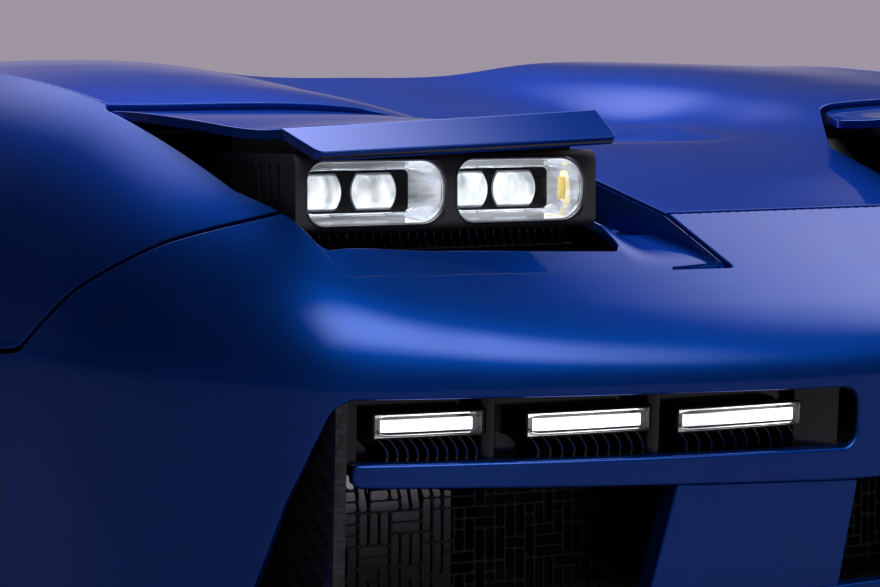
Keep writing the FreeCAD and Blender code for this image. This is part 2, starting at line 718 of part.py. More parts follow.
def build_cowl():
    sheet = deck(COWL_DROP, COWL_DROP + COWL_THICK)
    cowl = sheet.common(box((-770, 770), (COWL_FRONT, SKIN_REAR), (LOW, HIGH)))
    notch = box((HINGE_OUT - 14, HINGE_OUT + 14), (COWL_FRONT - 10, HINGE_BACK + 18), (LOW, HIGH))
    cowl = cowl.cut([notch, mirrored(notch)])
    foot = HOOP_REAR - HOOP_DEEP / 2
    wall = box((-540, 540), (foot, foot + COWL_THICK), (HOOP_HIGH, HIGH)).common(deck_block(COWL_DROP + 1))
    passage = box((HINGE_OUT - 16, HINGE_OUT + 16), (foot - 1, foot + COWL_THICK + 1), (LOW, HOOP_HIGH + 10))
    wall = wall.cut([passage, mirrored(passage)])
    save("cowl_panel", clean(cowl.fuse(wall)))


def build_lamp(inside):
    """The rising lamp: housing, lamp units, vanes, liner and hinge arms, in the open position."""
    turn_in = plan_prism([(POD_IN - 1, POD_FRONT_IN - 1, 0), (POD_IN - 1, POD_FRONT_IN + POD_DEEP, 0),
                          (POD_IN + 24, POD_FRONT_IN + POD_DEEP, 0), (POD_IN, POD_FRONT_IN + 30, 0)], LOW, HIGH)
    body = pod_box((0, POD_LONG), (0, POD_DEEP), (POD_BOTTOM, POD_TOP))
    edges = [e for e in body.Edges if len(e.Vertexes) == 2 and abs(e.Vertexes[0].Z - e.Vertexes[1].Z) < 1e-6
             and abs(e.Vertexes[0].Y - e.Vertexes[1].Y) < 1e-6 and e.CenterOfMass.y < at(0, POD_FRONT_IN + 1, 0).y]
    body = body.makeFillet(POD_CORNER, edges)
    body = body.cut(turn_in)
    pockets = []
    for unit in LENS_UNITS:
        outline = [(unit["inner"], LENS_LOW, LENS_CORNER), (unit["outer"], LENS_LOW, LENS_CORNER),
                   (unit["outer"], LENS_HIGH, LENS_CORNER), (unit["inner"], LENS_HIGH, LENS_CORNER)]
        pockets.append((outline, pod_front(outline, -20, LENS_DEEP)))
    body = body.cut([p for _, p in pockets])
    pod = pod_set(body)
    grooves = []
    for k in range(LOUVRES):
        b = POD_FRONT_OUT + 34 + k * 19
        hook = [(b, POD_TOP - 12, 2), (b + 7, POD_TOP - 12, 2), (b + 7, POD_TOP - 52, 8), (b + 17, POD_TOP - 66, 3),
                (b + 11, POD_TOP - 70, 3), (b, POD_TOP - 58, 10)]
        grooves.append(side_prism(hook, POD_OUT - 14, POD_OUT + 20))
    flank = pod_set(pod_box((POD_LONG - LOUVRE_DEEP, POD_LONG + 30), (-50, POD_DEEP + 50), (LOW, HIGH)))
    grooves = [g.common(flank) for g in grooves]
    pod = pod.cut(grooves)
    save_pair("pod", clean(pod))

    reflectors, covers, bulbs = [], [], []
    for (outline, _), unit in zip(pockets, LENS_UNITS):
        inner = grown(outline, -COVER_THICK)
        tray = pod_front(outline, COVER_SET + COVER_THICK, LENS_DEEP).cut(
            pod_front(inner, 0, LENS_DEEP - COVER_THICK))
        reflectors.append(tray)
        covers.append(pod_front(outline, COVER_SET, COVER_SET + COVER_THICK))
        middle, high = (unit["inner"] + unit["outer"]) / 2, (LENS_LOW + LENS_HIGH) / 2
        for shift in (-44, 40):
            centre = (POD_IN + middle + shift, high)
            front, rear = POD_FRONT_IN + LENS_SET, POD_FRONT_IN + LENS_DEEP - COVER_THICK
            barrel = rod(BULB_RADIUS, at(centre[0], front, high), at(centre[0], rear, high))
            bulbs.append(barrel.common(Part.makeSphere(LENS_DOME, at(centre[0], front + LENS_DOME, high))))
    save_pair("lamp_reflector", pod_set(Part.makeCompound(reflectors)))
    save_pair("lamp_cover", pod_set(Part.makeCompound(covers)))
    save_pair("lamp_lens", pod_set(Part.makeCompound(bulbs)))

    vanes = [pod_box((30, POD_LONG - 20), (14, 60), (POD_BOTTOM - VANE_HIGH, POD_BOTTOM - VANE_HIGH + 3)),
             pod_box((30, POD_LONG - 20), (57, 60), (POD_BOTTOM - VANE_HIGH, POD_BOTTOM))]
    for k in range(VANES):
        s = 34 + k * (POD_LONG - 66) / VANES
        blade = plan_prism([(POD_IN + s, POD_FRONT_IN + 14, 0), (POD_IN + s + 3, POD_FRONT_IN + 14, 0),
                            (POD_IN + s + 21, POD_FRONT_IN + 58, 0), (POD_IN + s + 18, POD_FRONT_IN + 58, 0)],
                           POD_BOTTOM - VANE_HIGH + 1, POD_BOTTOM)
        vanes.append(blade)
    save_pair("lamp_vanes", pod_set(vanes[0].fuse(vanes[1:])))

    crown_plan = [(POD_OUT - 14, POD_FRONT_OUT + 14, 6), (POD_OUT - 14, POD_FRONT_OUT + POD_DEEP - 40, 6),
                  (POD_IN + 34, POD_FRONT_IN + POD_DEEP - 20, 6), (POD_IN + 20, POD_FRONT_IN + 18, 6)]
    crown = plan_prism(crown_plan, POD_TOP, HIGH)
    liner_plan = grown(LID_PLAN, -FLANGE_WIDE - 1)
    liner_plan = [(a, min(b, LIFT_BACK - 30), r) for a, b, r in liner_plan]
    whole = inside.common(plan_prism(liner_plan, LAMP_LOW, HIGH))
    liner = clean(whole.cut(lid_block(SKIN + SEAT + LINER_THICK)))
    stand = clean(crown.common(raised(whole.common(lid_block(SKIN + SEAT + LINER_THICK / 2)))))
    save_pair("lid_liner", clean(raised(liner).fuse(stand)))

    boss = rod(LIFT_BOSS, at(0, LIFT_BACK, LIFT_HEIGHT), at(ARM_WIDE, LIFT_BACK, LIFT_HEIGHT))
    arms = []
    for out in LIFT_ARMS:
        b = POD_FRONT_IN + POD_DEEP + (out - POD_IN) * (POD_FRONT_OUT - POD_FRONT_IN) / (POD_OUT - POD_IN) - 4
        outline = [(b, POD_BOTTOM + 20, 0), (b, POD_TOP - 6, 0), (LIFT_BACK - 30, LIFT_HEIGHT + 4, 30),
                   (LIFT_BACK, LIFT_HEIGHT + LIFT_BOSS - 1, 0), (LIFT_BACK + 6, LIFT_HEIGHT - 6, 0),
                   (LIFT_BACK - 30, LIFT_HEIGHT - 40, 50)]
        arm = side_prism(outline, out, out + ARM_WIDE)
        eye = boss.copy()
        eye.translate(Vector(out, 0, 0))
        arms.append(arm.fuse(eye))
    shaft = rod(LIFT_SHAFT, at(LIFT_ENDS[0], LIFT_BACK, LIFT_HEIGHT), at(LIFT_ENDS[1], LIFT_BACK, LIFT_HEIGHT))
    arms = shaft.fuse(arms).cut(pod)
    save_pair("lift_arms", clean(arms))


def build_well():
    """The painted sill round the lamp, and behind it the well that the lamp sinks into."""
    floor = [(150, WELL_FLOOR, 0), (560, WELL_FLOOR, 30), (672, 620, 0), (672, 800, 0), (150, 800, 0)]
    outer = plan_prism(grown(WELL_PLAN, WELL_WALL), LOW, HIGH).common(side_prism(floor, 0, 900))
    inner = plan_prism(WELL_PLAN, LOW, HIGH).common(side_prism(grown(floor, -WELL_WALL), 0, 900))
    wide = lamp_opening(WELL_WALL).cut(plan_prism(CREST_SIDE, LOW, HIGH))
    rim = wide.cut(lamp_opening(0)).common(box((190, 740), (150, 288), (LOW, HIGH)))
    deep, below = sill_block(0), sill_block(SKIN)
    sill = deep.common(wide).cut([below, inner]).common(plan_prism(SILL_PLAN, LOW, HIGH))
    sill = clean(sill.fuse(lamp_block(SKIN + SEAT).common(rim).cut(below)))
    save_pair("lamp_sill", sill)
    tub = deep.common(wide).cut([below.cut(outer), inner, sill])
    rear = outer.cut(inner).common(deep).common(box((0, 900), (REAR_BACK[0], 700), (LOW, HIGH)))
    foot = WELL_REAR + WELL_WALL / 2
    outline = [(LIFT_BACK - 10, LIFT_HEIGHT - 4, 6), (LIFT_BACK - 8, LIFT_HEIGHT + LIFT_BOSS - 1, 8),
               (LIFT_BACK + 6, LIFT_HEIGHT + LIFT_BOSS - 1, 8), (LIFT_BACK + 12, LIFT_HEIGHT - 6, 8),
               (foot, 690, 0), (foot, 640, 0)]
    brackets = [side_prism(outline, LIFT_ENDS[0], LIFT_ENDS[0] + BRACKET_WIDE),
                side_prism(outline, LIFT_ENDS[1] - BRACKET_WIDE, LIFT_ENDS[1])]
    hole = rod(LIFT_SHAFT + RUN_FIT, at(400, LIFT_BACK, LIFT_HEIGHT), at(800, LIFT_BACK, LIFT_HEIGHT))
    save_pair("lamp_well", clean(tub.fuse([rear] + brackets).cut(hole)))
    slope = Vector(0, 142, -112).normalize() * MOTOR_RADIUS
    centre = at(0, 616, 549) + slope
    save_pair("lift_motor", rod(MOTOR_RADIUS, centre + Vector(MOTOR_OUT[0], 0, 0), centre + Vector(MOTOR_OUT[1], 0, 0)))


def build_nose_fittings(behind):
    """Lamp slots, ducts, blades, strakes, mesh, splitter and undertray."""
    slot = front_prism(SLOT_FRONT, -100, 400)
    slot_wide = front_prism(grown(SLOT_FRONT, SLOT_WALL), -100, 400)
    shell = slot_wide.cut(slot).common(nose_band(SKIN + SEAT, SLOT_DEEP))
    back = nose_band(SLOT_DEEP, SLOT_DEEP + SLOT_WALL).common(slot_wide)
    deep = nose_band(FIN_SET, SLOT_DEEP)
    fins = []
    for lamp in DAYLIGHT_LAMPS:
        middle = (lamp["inner"] + lamp["outer"]) / 2
        low = lamp["height"] - LAMP_HIGH / 2
        floor = 352 + (middle - SLOT_IN) * 16 / (SLOT_OUT - SLOT_IN)
        for k in range(FINS):
            out = lamp["inner"] + 12 + k * (lamp["outer"] - lamp["inner"] - 24) / (FINS - 1)
            fins.append(front_prism([(out - 16, floor - 3, 0), (out - 12, floor - 3, 0), (out + 16, low, 0),
                                     (out + 12, low, 0)], -100, 400))
    for out in (202, 408, 617, 779):
        fins.append(front_prism([(out - 7, 330, 0), (out + 7, 330, 0), (out + 7, 450, 0), (out - 7, 450, 0)], -100, 400))
    fins = [f.common(deep).common(slot) for f in fins]
    save_pair("slot_carrier", clean(shell.fuse([back] + fins)))

    casing = nose_band(LAMP_SET, SLOT_DEEP)
    lamps = []
    for lamp in DAYLIGHT_LAMPS:
        low, high = lamp["height"] - LAMP_HIGH / 2, lamp["height"] + LAMP_HIGH / 2
        bar = front_prism([(lamp["inner"], low, LAMP_CORNER), (lamp["outer"], low, LAMP_CORNER),
                           (lamp["outer"], high, LAMP_CORNER), (lamp["inner"], high, LAMP_CORNER)], -100, 400)
        lamps.append(bar.common(casing))
    save_pair("daylight_lamps", Part.makeCompound(lamps))

    duct = front_prism(DUCT_FRONT, -100, 700)
    duct_wide = front_prism(grown(DUCT_FRONT, 2.5), -100, 700)
    keep = box((SLOT_OUT - 40, 900), (0, 640), (LOW, HIGH)).cut(arch(ARCH_RADIUS + LINER_THICK, LINER_IN, 1100))
    inner_side = box((SLOT_OUT - 20, SLOT_OUT + SLOT_WALL + SEAT), (0, 900), (LOW, HIGH))
    liner = duct_wide.cut(duct).common(keep).common(behind).cut(inner_side)
    save_pair("duct_liner", clean(liner))

    blade = front_prism([(BLADE_OUT - BLADE_THICK, 450, 0), (BLADE_OUT, 450, 0), (BLADE_OUT, INTAKE_LOW, 0),
                         (BLADE_OUT - BLADE_THICK, INTAKE_LOW, 0)], -100, 500)
    blade = blade.common(duct).common(nose_band(2, BLADE_DEEP))
    save_pair("duct_blade", clean(blade))

    intake = front_prism(INTAKE_FRONT, -100, 500)
    strake = front_prism(STRAKE_FRONT, -100, 500).common(intake).common(nose_band(STRAKE_SET, STRAKE_DEEP))
    save_pair("strake", clean(strake))

    face = [(row[-1].x, row[-1].y + MESH_BACK) for row in SKIRT_GRID if 0 <= row[-1].x < 830]
    wall = face + [(x, y + MESH_BAR) for x, y in reversed(face)]
    wall = plan_prism([(x, y, 0) for x, y in wall], INTAKE_LOW, INTAKE_LOW + 5 * MESH_PITCH)
    rows = [box((-1, BLADE_OUT - BLADE_THICK), (0, 500), (h, h + MESH_BAR))
            for h in [INTAKE_LOW + k * (MESH_PITCH - 1) for k in range(6)]]
    posts = [box((out - MESH_BAR / 2, out + MESH_BAR / 2), (0, 500), (LOW, HIGH))
             for out in [k * MESH_PITCH for k in range(24)]]
    save("intake_mesh", both(wall.common(rows[0].fuse(rows[1:] + posts))))


def sill_line(grow):
    """Plan points along the lower edge of the left half of the nose, moved outwards by grow."""
    points = []
    for row, level in zip(SKIRT_GRID, SKIRT_LEVEL):
        spot = row[-1] - level[-1] * grow
        if row[-1].x >= -1 and spot.y < 640:
            points.append((max(spot.x, 0), spot.y))
    return points


def build_underside():
    """Splitter under the nose and the flat tray behind it."""
    rim, inner = sill_line(SPLITTER_OUT), sill_line(-SPLITTER_IN)
    outline = [(x, y, 0) for x, y in rim] + [(x, y, 0) for x, y in reversed(inner)]
    low = NOSE_LOW - SPLITTER_THICK
    save("splitter", both(plan_prism(outline, low, NOSE_LOW)))
    tray = [(x, y, 0) for x, y in inner if y < TRAY_CORNER]
    tray = [(0, tray[0][1], 0)] + tray[1:]
    tray += [(LINER_IN, TRAY_CORNER, 0), (LINER_IN, SKIN_REAR - 4, 0), (0, SKIN_REAR - 4, 0)]
    save("undertray", both(plan_prism(tray, NOSE_LOW - TRAY_THICK, NOSE_LOW)))


def build_liners(behind):
    """Wheel-arch liners: a hoop over the wheel and a wall on its inner side, with a hole for the axle."""
    hoop = arch(ARCH_RADIUS + LINER_THICK, LINER_IN, 1100).cut(arch(ARCH_RADIUS, LINER_IN - 1, 1101))
    hoop = hoop.common(box((LINER_IN, 1100), (0, SKIN_REAR), (NOSE_LOW, HIGH)))
    outer_part = hoop.common(box((760, 1100), (0, SKIN_REAR), (LOW, HIGH)))
    hoop = hoop.cut(outer_part.cut(behind))
    wall = arch(ARCH_RADIUS + LINER_THICK, LINER_IN - LINER_THICK, LINER_IN)
    wall = wall.common(box((0, 900), (0, SKIN_REAR), (NOSE_LOW, HIGH)))
    wall = wall.cut(Part.makeCylinder(AXLE_HOLE, 40, at(LINER_IN - 20, WHEEL_BACK, WHEEL_HEIGHT), Vector(1, 0, 0)))
    save_pair("arch_liner", clean(hoop.fuse(wall)))


def build_frame():
    """Two rails, towers, a hoop behind the bonnet, and the plates that bolt to the bulkhead."""
    rail_low, rail_high = MOUNT_HEIGHT - RAIL_HIGH / 2, MOUNT_HEIGHT + RAIL_HIGH / 2
    inner, outer = RAIL_OUT - RAIL_WIDE / 2, RAIL_OUT + RAIL_WIDE / 2
    rear = HOOP_REAR
    solid = [box((inner, outer), (RAIL_FRONT, rear), (rail_low, rail_high))]
    hollow = [box((inner + RAIL_WALL, outer - RAIL_WALL), (RAIL_FRONT - 1, rear + 1),
                  (rail_low + RAIL_WALL, rail_high - RAIL_WALL))]
    plate = box((RAIL_OUT - PLATE_WIDE / 2, RAIL_OUT + PLATE_WIDE / 2), (rear, BULKHEAD_BACK),
                (MOUNT_HEIGHT - PLATE_HIGH / 2, MOUNT_HEIGHT + PLATE_HIGH / 2))
    for high in (-BOLTS_HIGH / 2, BOLTS_HIGH / 2):
        hole = rod(BOLT_HOLE, at(RAIL_OUT, rear - 5, MOUNT_HEIGHT + high), at(RAIL_OUT, BULKHEAD_BACK + 5, MOUNT_HEIGHT + high))
        plate = plate.cut(hole)
    wall = TOWER["wall"]
    tower_side = [(TOWER["front"], rail_high, 0), (TOWER["front"] + 40, TOWER["top"], 20),
                  (TOWER["rear"] - 40, TOWER["top"], 20), (TOWER["rear"], rail_high, 0)]
    tower = side_prism(tower_side, outer - 20, LINER_IN - LINER_THICK)
    tower_in = side_prism([(TOWER["front"] + wall, rail_high - 1, 0), (TOWER["front"] + 40 + wall, TOWER["top"] - wall, 16),
                           (TOWER["rear"] - 40 - wall, TOWER["top"] - wall, 16), (TOWER["rear"] - wall, rail_high - 1, 0)],
                          outer - 20 + wall, LINER_IN)
    tower = tower.cut(tower_in)
    post = box((inner, outer), (rear - HOOP_DEEP, rear), (rail_high, HOOP_LOW))
    beam = box((-1, LINER_IN - LINER_THICK), (rear - HOOP_DEEP, rear), (HOOP_LOW, HOOP_HIGH))
    ear_side = [(rear - HOOP_DEEP, HOOP_LOW, 0), (HINGE_BACK - HINGE_BOSS, HINGE_HEIGHT, 8),
                (HINGE_BACK - 2, HINGE_HEIGHT + HINGE_BOSS - 2, 8), (HINGE_BACK + HINGE_BOSS, HINGE_HEIGHT, 8),
                (rear, HOOP_LOW, 0)]
    ears = []
    for out in (HINGE_OUT - HINGE_PLATE / 2 - 9, HINGE_OUT + HINGE_PLATE / 2 + 3):
        ears.append(side_prism(ear_side, out, out + 6))
    pin = rod(HINGE_PIN, at(HINGE_OUT - HINGE_PLATE / 2 - 9, HINGE_BACK, HINGE_HEIGHT),
              at(HINGE_OUT + HINGE_PLATE / 2 + 9, HINGE_BACK, HINGE_HEIGHT))
    half = solid[0].fuse([plate, post, beam, pin] + ears).cut(hollow)
    half = half.fuse([tower, plate])
    lower = box((-1, inner), (1240, 1280), (rail_low + 10, rail_high - 10))
    save("front_frame", both(half.fuse(lower)))

    bar = box((-1, 560), (RAIL_FRONT - BEAM_DEEP, RAIL_FRONT), (MOUNT_HEIGHT - BEAM_HIGH / 2, MOUNT_HEIGHT + BEAM_HIGH / 2))
    save("crash_beam", both(bar))


def build_masses():
    """Luggage tub and radiators."""
    half_wide = RAIL_OUT - RAIL_WIDE / 2
    corner, wall = TUB["corner"], TUB["wall"]
    half = [(TUB["neck"], TUB["front"], corner), (TUB["neck"], TUB["widen"][0], corner),
            (half_wide, TUB["widen"][1], corner), (half_wide, TUB["rear"], corner)]
    outline = half + [(-a, b, r) for a, b, r in reversed(half)]
    tub = plan_prism(outline, TUB["low"], TUB["high"])
    tub = tub.cut(plan_prism(grown(outline, -wall), TUB["low"] + wall, TUB["high"] + 5))
    save("luggage_tub", tub)
    low, deep = RADIATOR["low"], RADIATOR["deep"]
    block = box((RADIATOR["inner"], RADIATOR["outer"]), (RAIL_FRONT - deep, RAIL_FRONT), (low, MOUNT_HEIGHT - BEAM_HIGH / 2))
    save_pair("radiator", block)


def build():
    os.makedirs("parts", exist_ok=True)
    inside = lid_block(SKIN + SEAT)
    behind = skirt_block(SKIN + SEAT)
    build_skin()
    build_bonnet_frame()
    build_hinges()
    build_cowl()
    build_lamp(inside)
    build_well()
    build_nose_fittings(behind)
    build_underside()
    build_liners(behind)
    build_frame()
    build_masses()


build()
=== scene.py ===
import json
import math

import bmesh
import bpy
import numpy as np
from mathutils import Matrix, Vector


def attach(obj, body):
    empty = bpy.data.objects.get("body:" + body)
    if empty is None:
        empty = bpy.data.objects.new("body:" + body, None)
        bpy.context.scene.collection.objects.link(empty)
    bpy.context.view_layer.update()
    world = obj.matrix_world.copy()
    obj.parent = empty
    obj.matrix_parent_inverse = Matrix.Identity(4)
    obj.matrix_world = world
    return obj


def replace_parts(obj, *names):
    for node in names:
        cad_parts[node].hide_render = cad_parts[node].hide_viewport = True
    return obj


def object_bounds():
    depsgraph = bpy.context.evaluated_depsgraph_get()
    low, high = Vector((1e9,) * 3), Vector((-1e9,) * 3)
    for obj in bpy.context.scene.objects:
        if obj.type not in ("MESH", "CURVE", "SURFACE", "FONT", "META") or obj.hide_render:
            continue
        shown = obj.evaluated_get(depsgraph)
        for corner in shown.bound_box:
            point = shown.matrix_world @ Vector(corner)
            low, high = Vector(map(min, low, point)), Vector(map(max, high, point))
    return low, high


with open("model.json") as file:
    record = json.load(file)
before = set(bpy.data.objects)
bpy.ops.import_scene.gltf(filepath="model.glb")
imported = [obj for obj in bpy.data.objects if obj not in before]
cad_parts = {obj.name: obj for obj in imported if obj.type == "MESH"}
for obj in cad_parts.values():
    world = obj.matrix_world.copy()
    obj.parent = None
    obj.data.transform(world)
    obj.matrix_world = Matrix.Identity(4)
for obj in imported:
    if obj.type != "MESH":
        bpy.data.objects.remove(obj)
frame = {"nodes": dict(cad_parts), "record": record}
cad_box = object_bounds()

# Nose section of a mid-engined supercar: painted skin, bonnet, two lamps that rise on hinges, three
# daylight lamps in a slot on each side, intakes with mesh, and the frame that bolts to the cabin.
# Sizes are millimetres in car coordinates: out from the centre line, back from the nose datum and
# height above the road. to_part carries them into the part's frame, in metres.
BULKHEAD_BACK = 1300.0
MOUNT_HEIGHT = 400.0

# Skin and shut lines. EDGE_ROLL is the radius of a panel's edge, FLANGE_DEEP how far it turns in
SKIN = 4.0
GAP = 5.0
SILL_HEIGHT = 150.0
NOSE_LOW = 168.0
WING_LOW = 440.0
SKIN_REAR = 1296.0
EDGE_ROLL = 1.6
FLANGE_DEEP = 11.0

# Front wheel well
WHEEL_BACK = 1000.0
WHEEL_HEIGHT = 340.0
ARCH_RADIUS = 370.0

# Bonnet
BONNET_FRONT = 296.0
BONNET_REAR = 1222.0

# Rising lamps
LIFT_BACK = 628.0
LIFT_HEIGHT = 722.0
LIFT_ANGLE = 16.0
POD_OUT = 765.0
POD_IN = 352.0
POD_FRONT_OUT = 322.0
POD_FRONT_IN = 284.0
POD_BOTTOM = 612.0
POD_LONG = math.hypot(POD_OUT - POD_IN, POD_FRONT_OUT - POD_FRONT_IN)
POD_TURN = math.atan2(POD_FRONT_OUT - POD_FRONT_IN, POD_OUT - POD_IN)
LID_FOLD = ((360.0, 291.0), (760.0, 357.0))
LID_FOLD_HEIGHT = 653.0
LID_LIP = ((355.0, 258.0), (758.0, 305.0))
LID_LIP_HEIGHT = 611.0
LID_SETTLE = 480.0
LID_REACH = (250.0, 830.0)
LID_SLOPE = 0.18

# Painted sill and scoop round each lamp
LEDGE_TOP = 9.0
LEDGE_DROP = 12.0
LEDGE_BACK = (300.0, 350.0)
SCOOP_DEEP = 34.0
SCOOP_OUT = (345.0, 285.0)
SCOOP_BACK = (215.0, 350.0)
SCOOP_WALL_SET = 7.0
SCOOP_WALL_THICK = 2.0
SCOOP_WALL_REAR = 430.0

# Lamp units in the face of each housing. Masks and lenses sit MASK_DEEP behind it
LENS_LOW = 621.0
LENS_HIGH = 693.0
LENS_CORNER = 16.0
LENS_UNITS = [
    dict(inner=18.0, outer=198.0, lenses=(100.0, 168.0)),
    dict(inner=214.0, outer=400.0, lenses=(295.0, 369.0)),
]
MASK_DEEP = 30.0
MASK_LOW = 633.0
MASK_HIGH = 682.0
LENS_WIDE = 58.0
LENS_TALL = 38.0

# Daylight lamp slot, side duct and intake, measured on the front of the nose
SLOT_OUT = 788.0
SLOT_IN = 130.0
SLOT_BACK = 57.0
SLOT_WALL = 3.0
INTAKE_LOW = 188.0
MESH_BACK = 96.0
DAYLIGHT_LAMPS = [
    dict(inner=636, outer=748, height=407),
    dict(inner=427, outer=570, height=401),
    dict(inner=212, outer=375, height=396),
]

# One row for each section of the skirt, from the centre line round the corner to the door.
# top: out, back, height. heading: turn from straight ahead, in degrees. reach: top edge to the
# shoulder corner. corner: its height. sill: top edge to the lower edge. up, down: share of each
# side that the rounding of the corner takes.
SKIRT = [
    dict(top=(0, 290, 622), heading=0, reach=235, corner=478, sill=213, up=0.32, down=0.13),
    dict(top=(220, 290, 622), heading=2, reach=222, corner=478, sill=204, up=0.32, down=0.13),
    dict(top=(400, 290, 622), heading=5, reach=198, corner=482, sill=184, up=0.34, down=0.13),
    dict(top=(600, 290, 622), heading=10, reach=155, corner=492, sill=144, up=0.38, down=0.15),
    dict(top=(762, 298, 625), heading=32, reach=108, corner=515, sill=98, up=0.55, down=0.20),
    dict(top=(790, 400, 664), heading=62, reach=142, corner=565, sill=128, up=0.80, down=0.28),
    dict(top=(800, 660, 757), heading=86, reach=176, corner=640, sill=158, up=0.94, down=0.38),
    dict(top=(800, 1000, 801), heading=90, reach=186, corner=680, sill=164, up=0.94, down=0.38),
    dict(top=(792, SKIN_REAR, 802), heading=90, reach=194, corner=700, sill=172, up=0.94, down=0.38),
]
CORNER_ROW = 4

# One row for each section of the deck, from the fold above the lamps to the windscreen.
# Each pair is (out, height): inner edge of the wing's shoulder and foot of the ramp.
DECK = [
    dict(back=290, shoulder=(500, 622), ramp=(200, 622), centre=622),
    dict(back=450, shoulder=(450, 683), ramp=(200, 676), centre=674),
    dict(back=560, shoulder=(420, 720), ramp=(200, 702), centre=699),
    dict(back=680, shoulder=(390, 752), ramp=(190, 713), centre=707),
    dict(back=830, shoulder=(360, 768), ramp=(180, 718), centre=711),
    dict(back=1000, shoulder=(345, 786), ramp=(180, 747), centre=742),
    dict(back=SKIN_REAR, shoulder=(330, 812), ramp=(180, 803), centre=801),
]

# Outlines as corners (a, b, radius). Plan outlines are out and back, front ones out and height,
# side ones back and height.
LID_PLAN = [(800, 640, 10), (797, 560, 0), (784, 470, 0), (772, 400, 0), (764, 350, 0), (758, 305, 12),
            (355, 258, 5), (350, 300, 0), (300, 400, 0), (276, 500, 30), (400, 640, 60)]
OPENING_PLAN = [(805, 654, 14), (802, 560, 0), (794, 400, 0), (771, 296, 0), (757, 240, 16), (400, 207, 0),
                (209, 197, 3), (240, 352, 0), (266, 500, 34), (398, 654, 60)]
WELL_REAR = 662.0
WELL_PLAN = [(782, WELL_REAR, 14), (779, 400, 0), (767, 300, 10), (752, 280, 12), (420, 256, 0),
             (340, 250, 14), (306, 480, 30), (410, WELL_REAR, 40)]
SILL_PLAN = [(150, 100, 0), (830, 100, 0), (830, 300, 0), (345, 268, 0), (320, 380, 0), (150, 380, 0)]
SLOT_FRONT = [(SLOT_OUT, 438, 4), (SLOT_OUT, 368, 4), (SLOT_IN, 352, 22), (SLOT_IN, 423, 22)]
DUCT_FRONT = [(SLOT_OUT - 1, 438, 0), (806, 428, 30), (822, 385, 60), (842, 325, 80), (864, 225, 40),
              (868, INTAKE_LOW, 10), (SLOT_OUT - 1, INTAKE_LOW, 0)]
INTAKE_TOP = 308.0
INTAKE_FRONT = [(0, INTAKE_TOP, 0), (140, 313, 60), (SLOT_OUT, 341, 0), (SLOT_OUT, INTAKE_LOW, 0),
                (0, INTAKE_LOW, 0)]
STRAKE_FRONT = [(384, 350, 0), (116, 350, 0), (150, 160, 0), (436, 160, 0)]
SEAM_SIDE = [(250, 700, 0), (292, 652, 0), (406, 603, 90), (500, 547, 120), (585, 474, 40), (720, 462, 0)]


def to_part(places):
    """Car coordinates in millimetres to the part's frame in metres, for one place or many."""
    return (np.asarray(places, float) - (0.0, BULKHEAD_BACK, MOUNT_HEIGHT)) * 0.001


def smooth(knots, values):
    """A smooth function through the values at the knots, with parabolic slopes between neighbours."""
    knots, values = np.asarray(knots, float), np.asarray(values, float)
    steps = np.diff(knots)
    rises = np.diff(values) / steps
    slopes = np.concatenate([rises[:1], rises, rises[-1:]])[:-1]
    slopes[1:-1] = (steps[1:] * rises[:-1] + steps[:-1] * rises[1:]) / (steps[:-1] + steps[1:])
    slopes[-1] = rises[-1]

    def value(t):
        i = np.clip(np.searchsorted(knots, t, side="right") - 1, 0, len(steps) - 1)
        h = steps[i]
        s = (t - knots[i]) / h
        start = values[i] * (1 + 2 * s) * (1 - s) ** 2 + slopes[i] * h * s * (1 - s) ** 2
        return start + values[i + 1] * s * s * (3 - 2 * s) + slopes[i + 1] * h * s * s * (s - 1)

    return value


def unit(vectors):
    lengths = np.linalg.norm(vectors, axis=-1, keepdims=True)
    return vectors / np.maximum(lengths, 1e-12)


def skirt_lines():
    """Smooth lines of the skirt from door to door, and the run of each row along it."""
    rows = []
    for side, table in ((-1, SKIRT[:0:-1]), (1, SKIRT)):
        for row in table:
            out, back, height = row["top"]
            turn = math.radians(row["heading"])
            east, north = math.sin(turn), -math.cos(turn)
            reach, sill = row["reach"], row["sill"]
            rows.append(dict(
                top=(side * out, back, height),
                corner=(side * (out + east * reach), back + north * reach, row["corner"]),
                sill=(side * (out + east * sill), back + north * sill, SILL_HEIGHT),
                up=row["up"], down=row["down"]))
    corners = np.array([row["corner"] for row in rows], float)
    runs = np.concatenate([[0.0], np.cumsum(np.linalg.norm(np.diff(corners, axis=0), axis=1))])
    lines = {}
    for name in ("top", "corner", "sill"):
        parts = [smooth(runs, [row[name][axis] for row in rows]) for axis in range(3)]
        lines[name] = lambda t, parts=parts: np.stack([part(t) for part in parts], axis=-1)
    for name in ("up", "down"):
        lines[name] = smooth(runs, [row[name] for row in rows])
    return lines, runs


LINES, RUNS = skirt_lines()
MIDDLE = len(SKIRT) - 1
CORNER_RUN = RUNS[MIDDLE + CORNER_ROW]

# How finely the faces are sampled, and the passes that take the waves out of the deck
SKIRT_STEP = 6.0
SKIRT_DOWN = 96
FOLD_STEP = 2.5
FOLD_BAND = 150.0
DECK_PASSES = 12
LAMP_GRID_REAR = 760.0
BEYOND_CREST = 30.0
INSIDE_PLACE = (0.0, 700.0, 300.0)
FOLD_FADE = 200.0


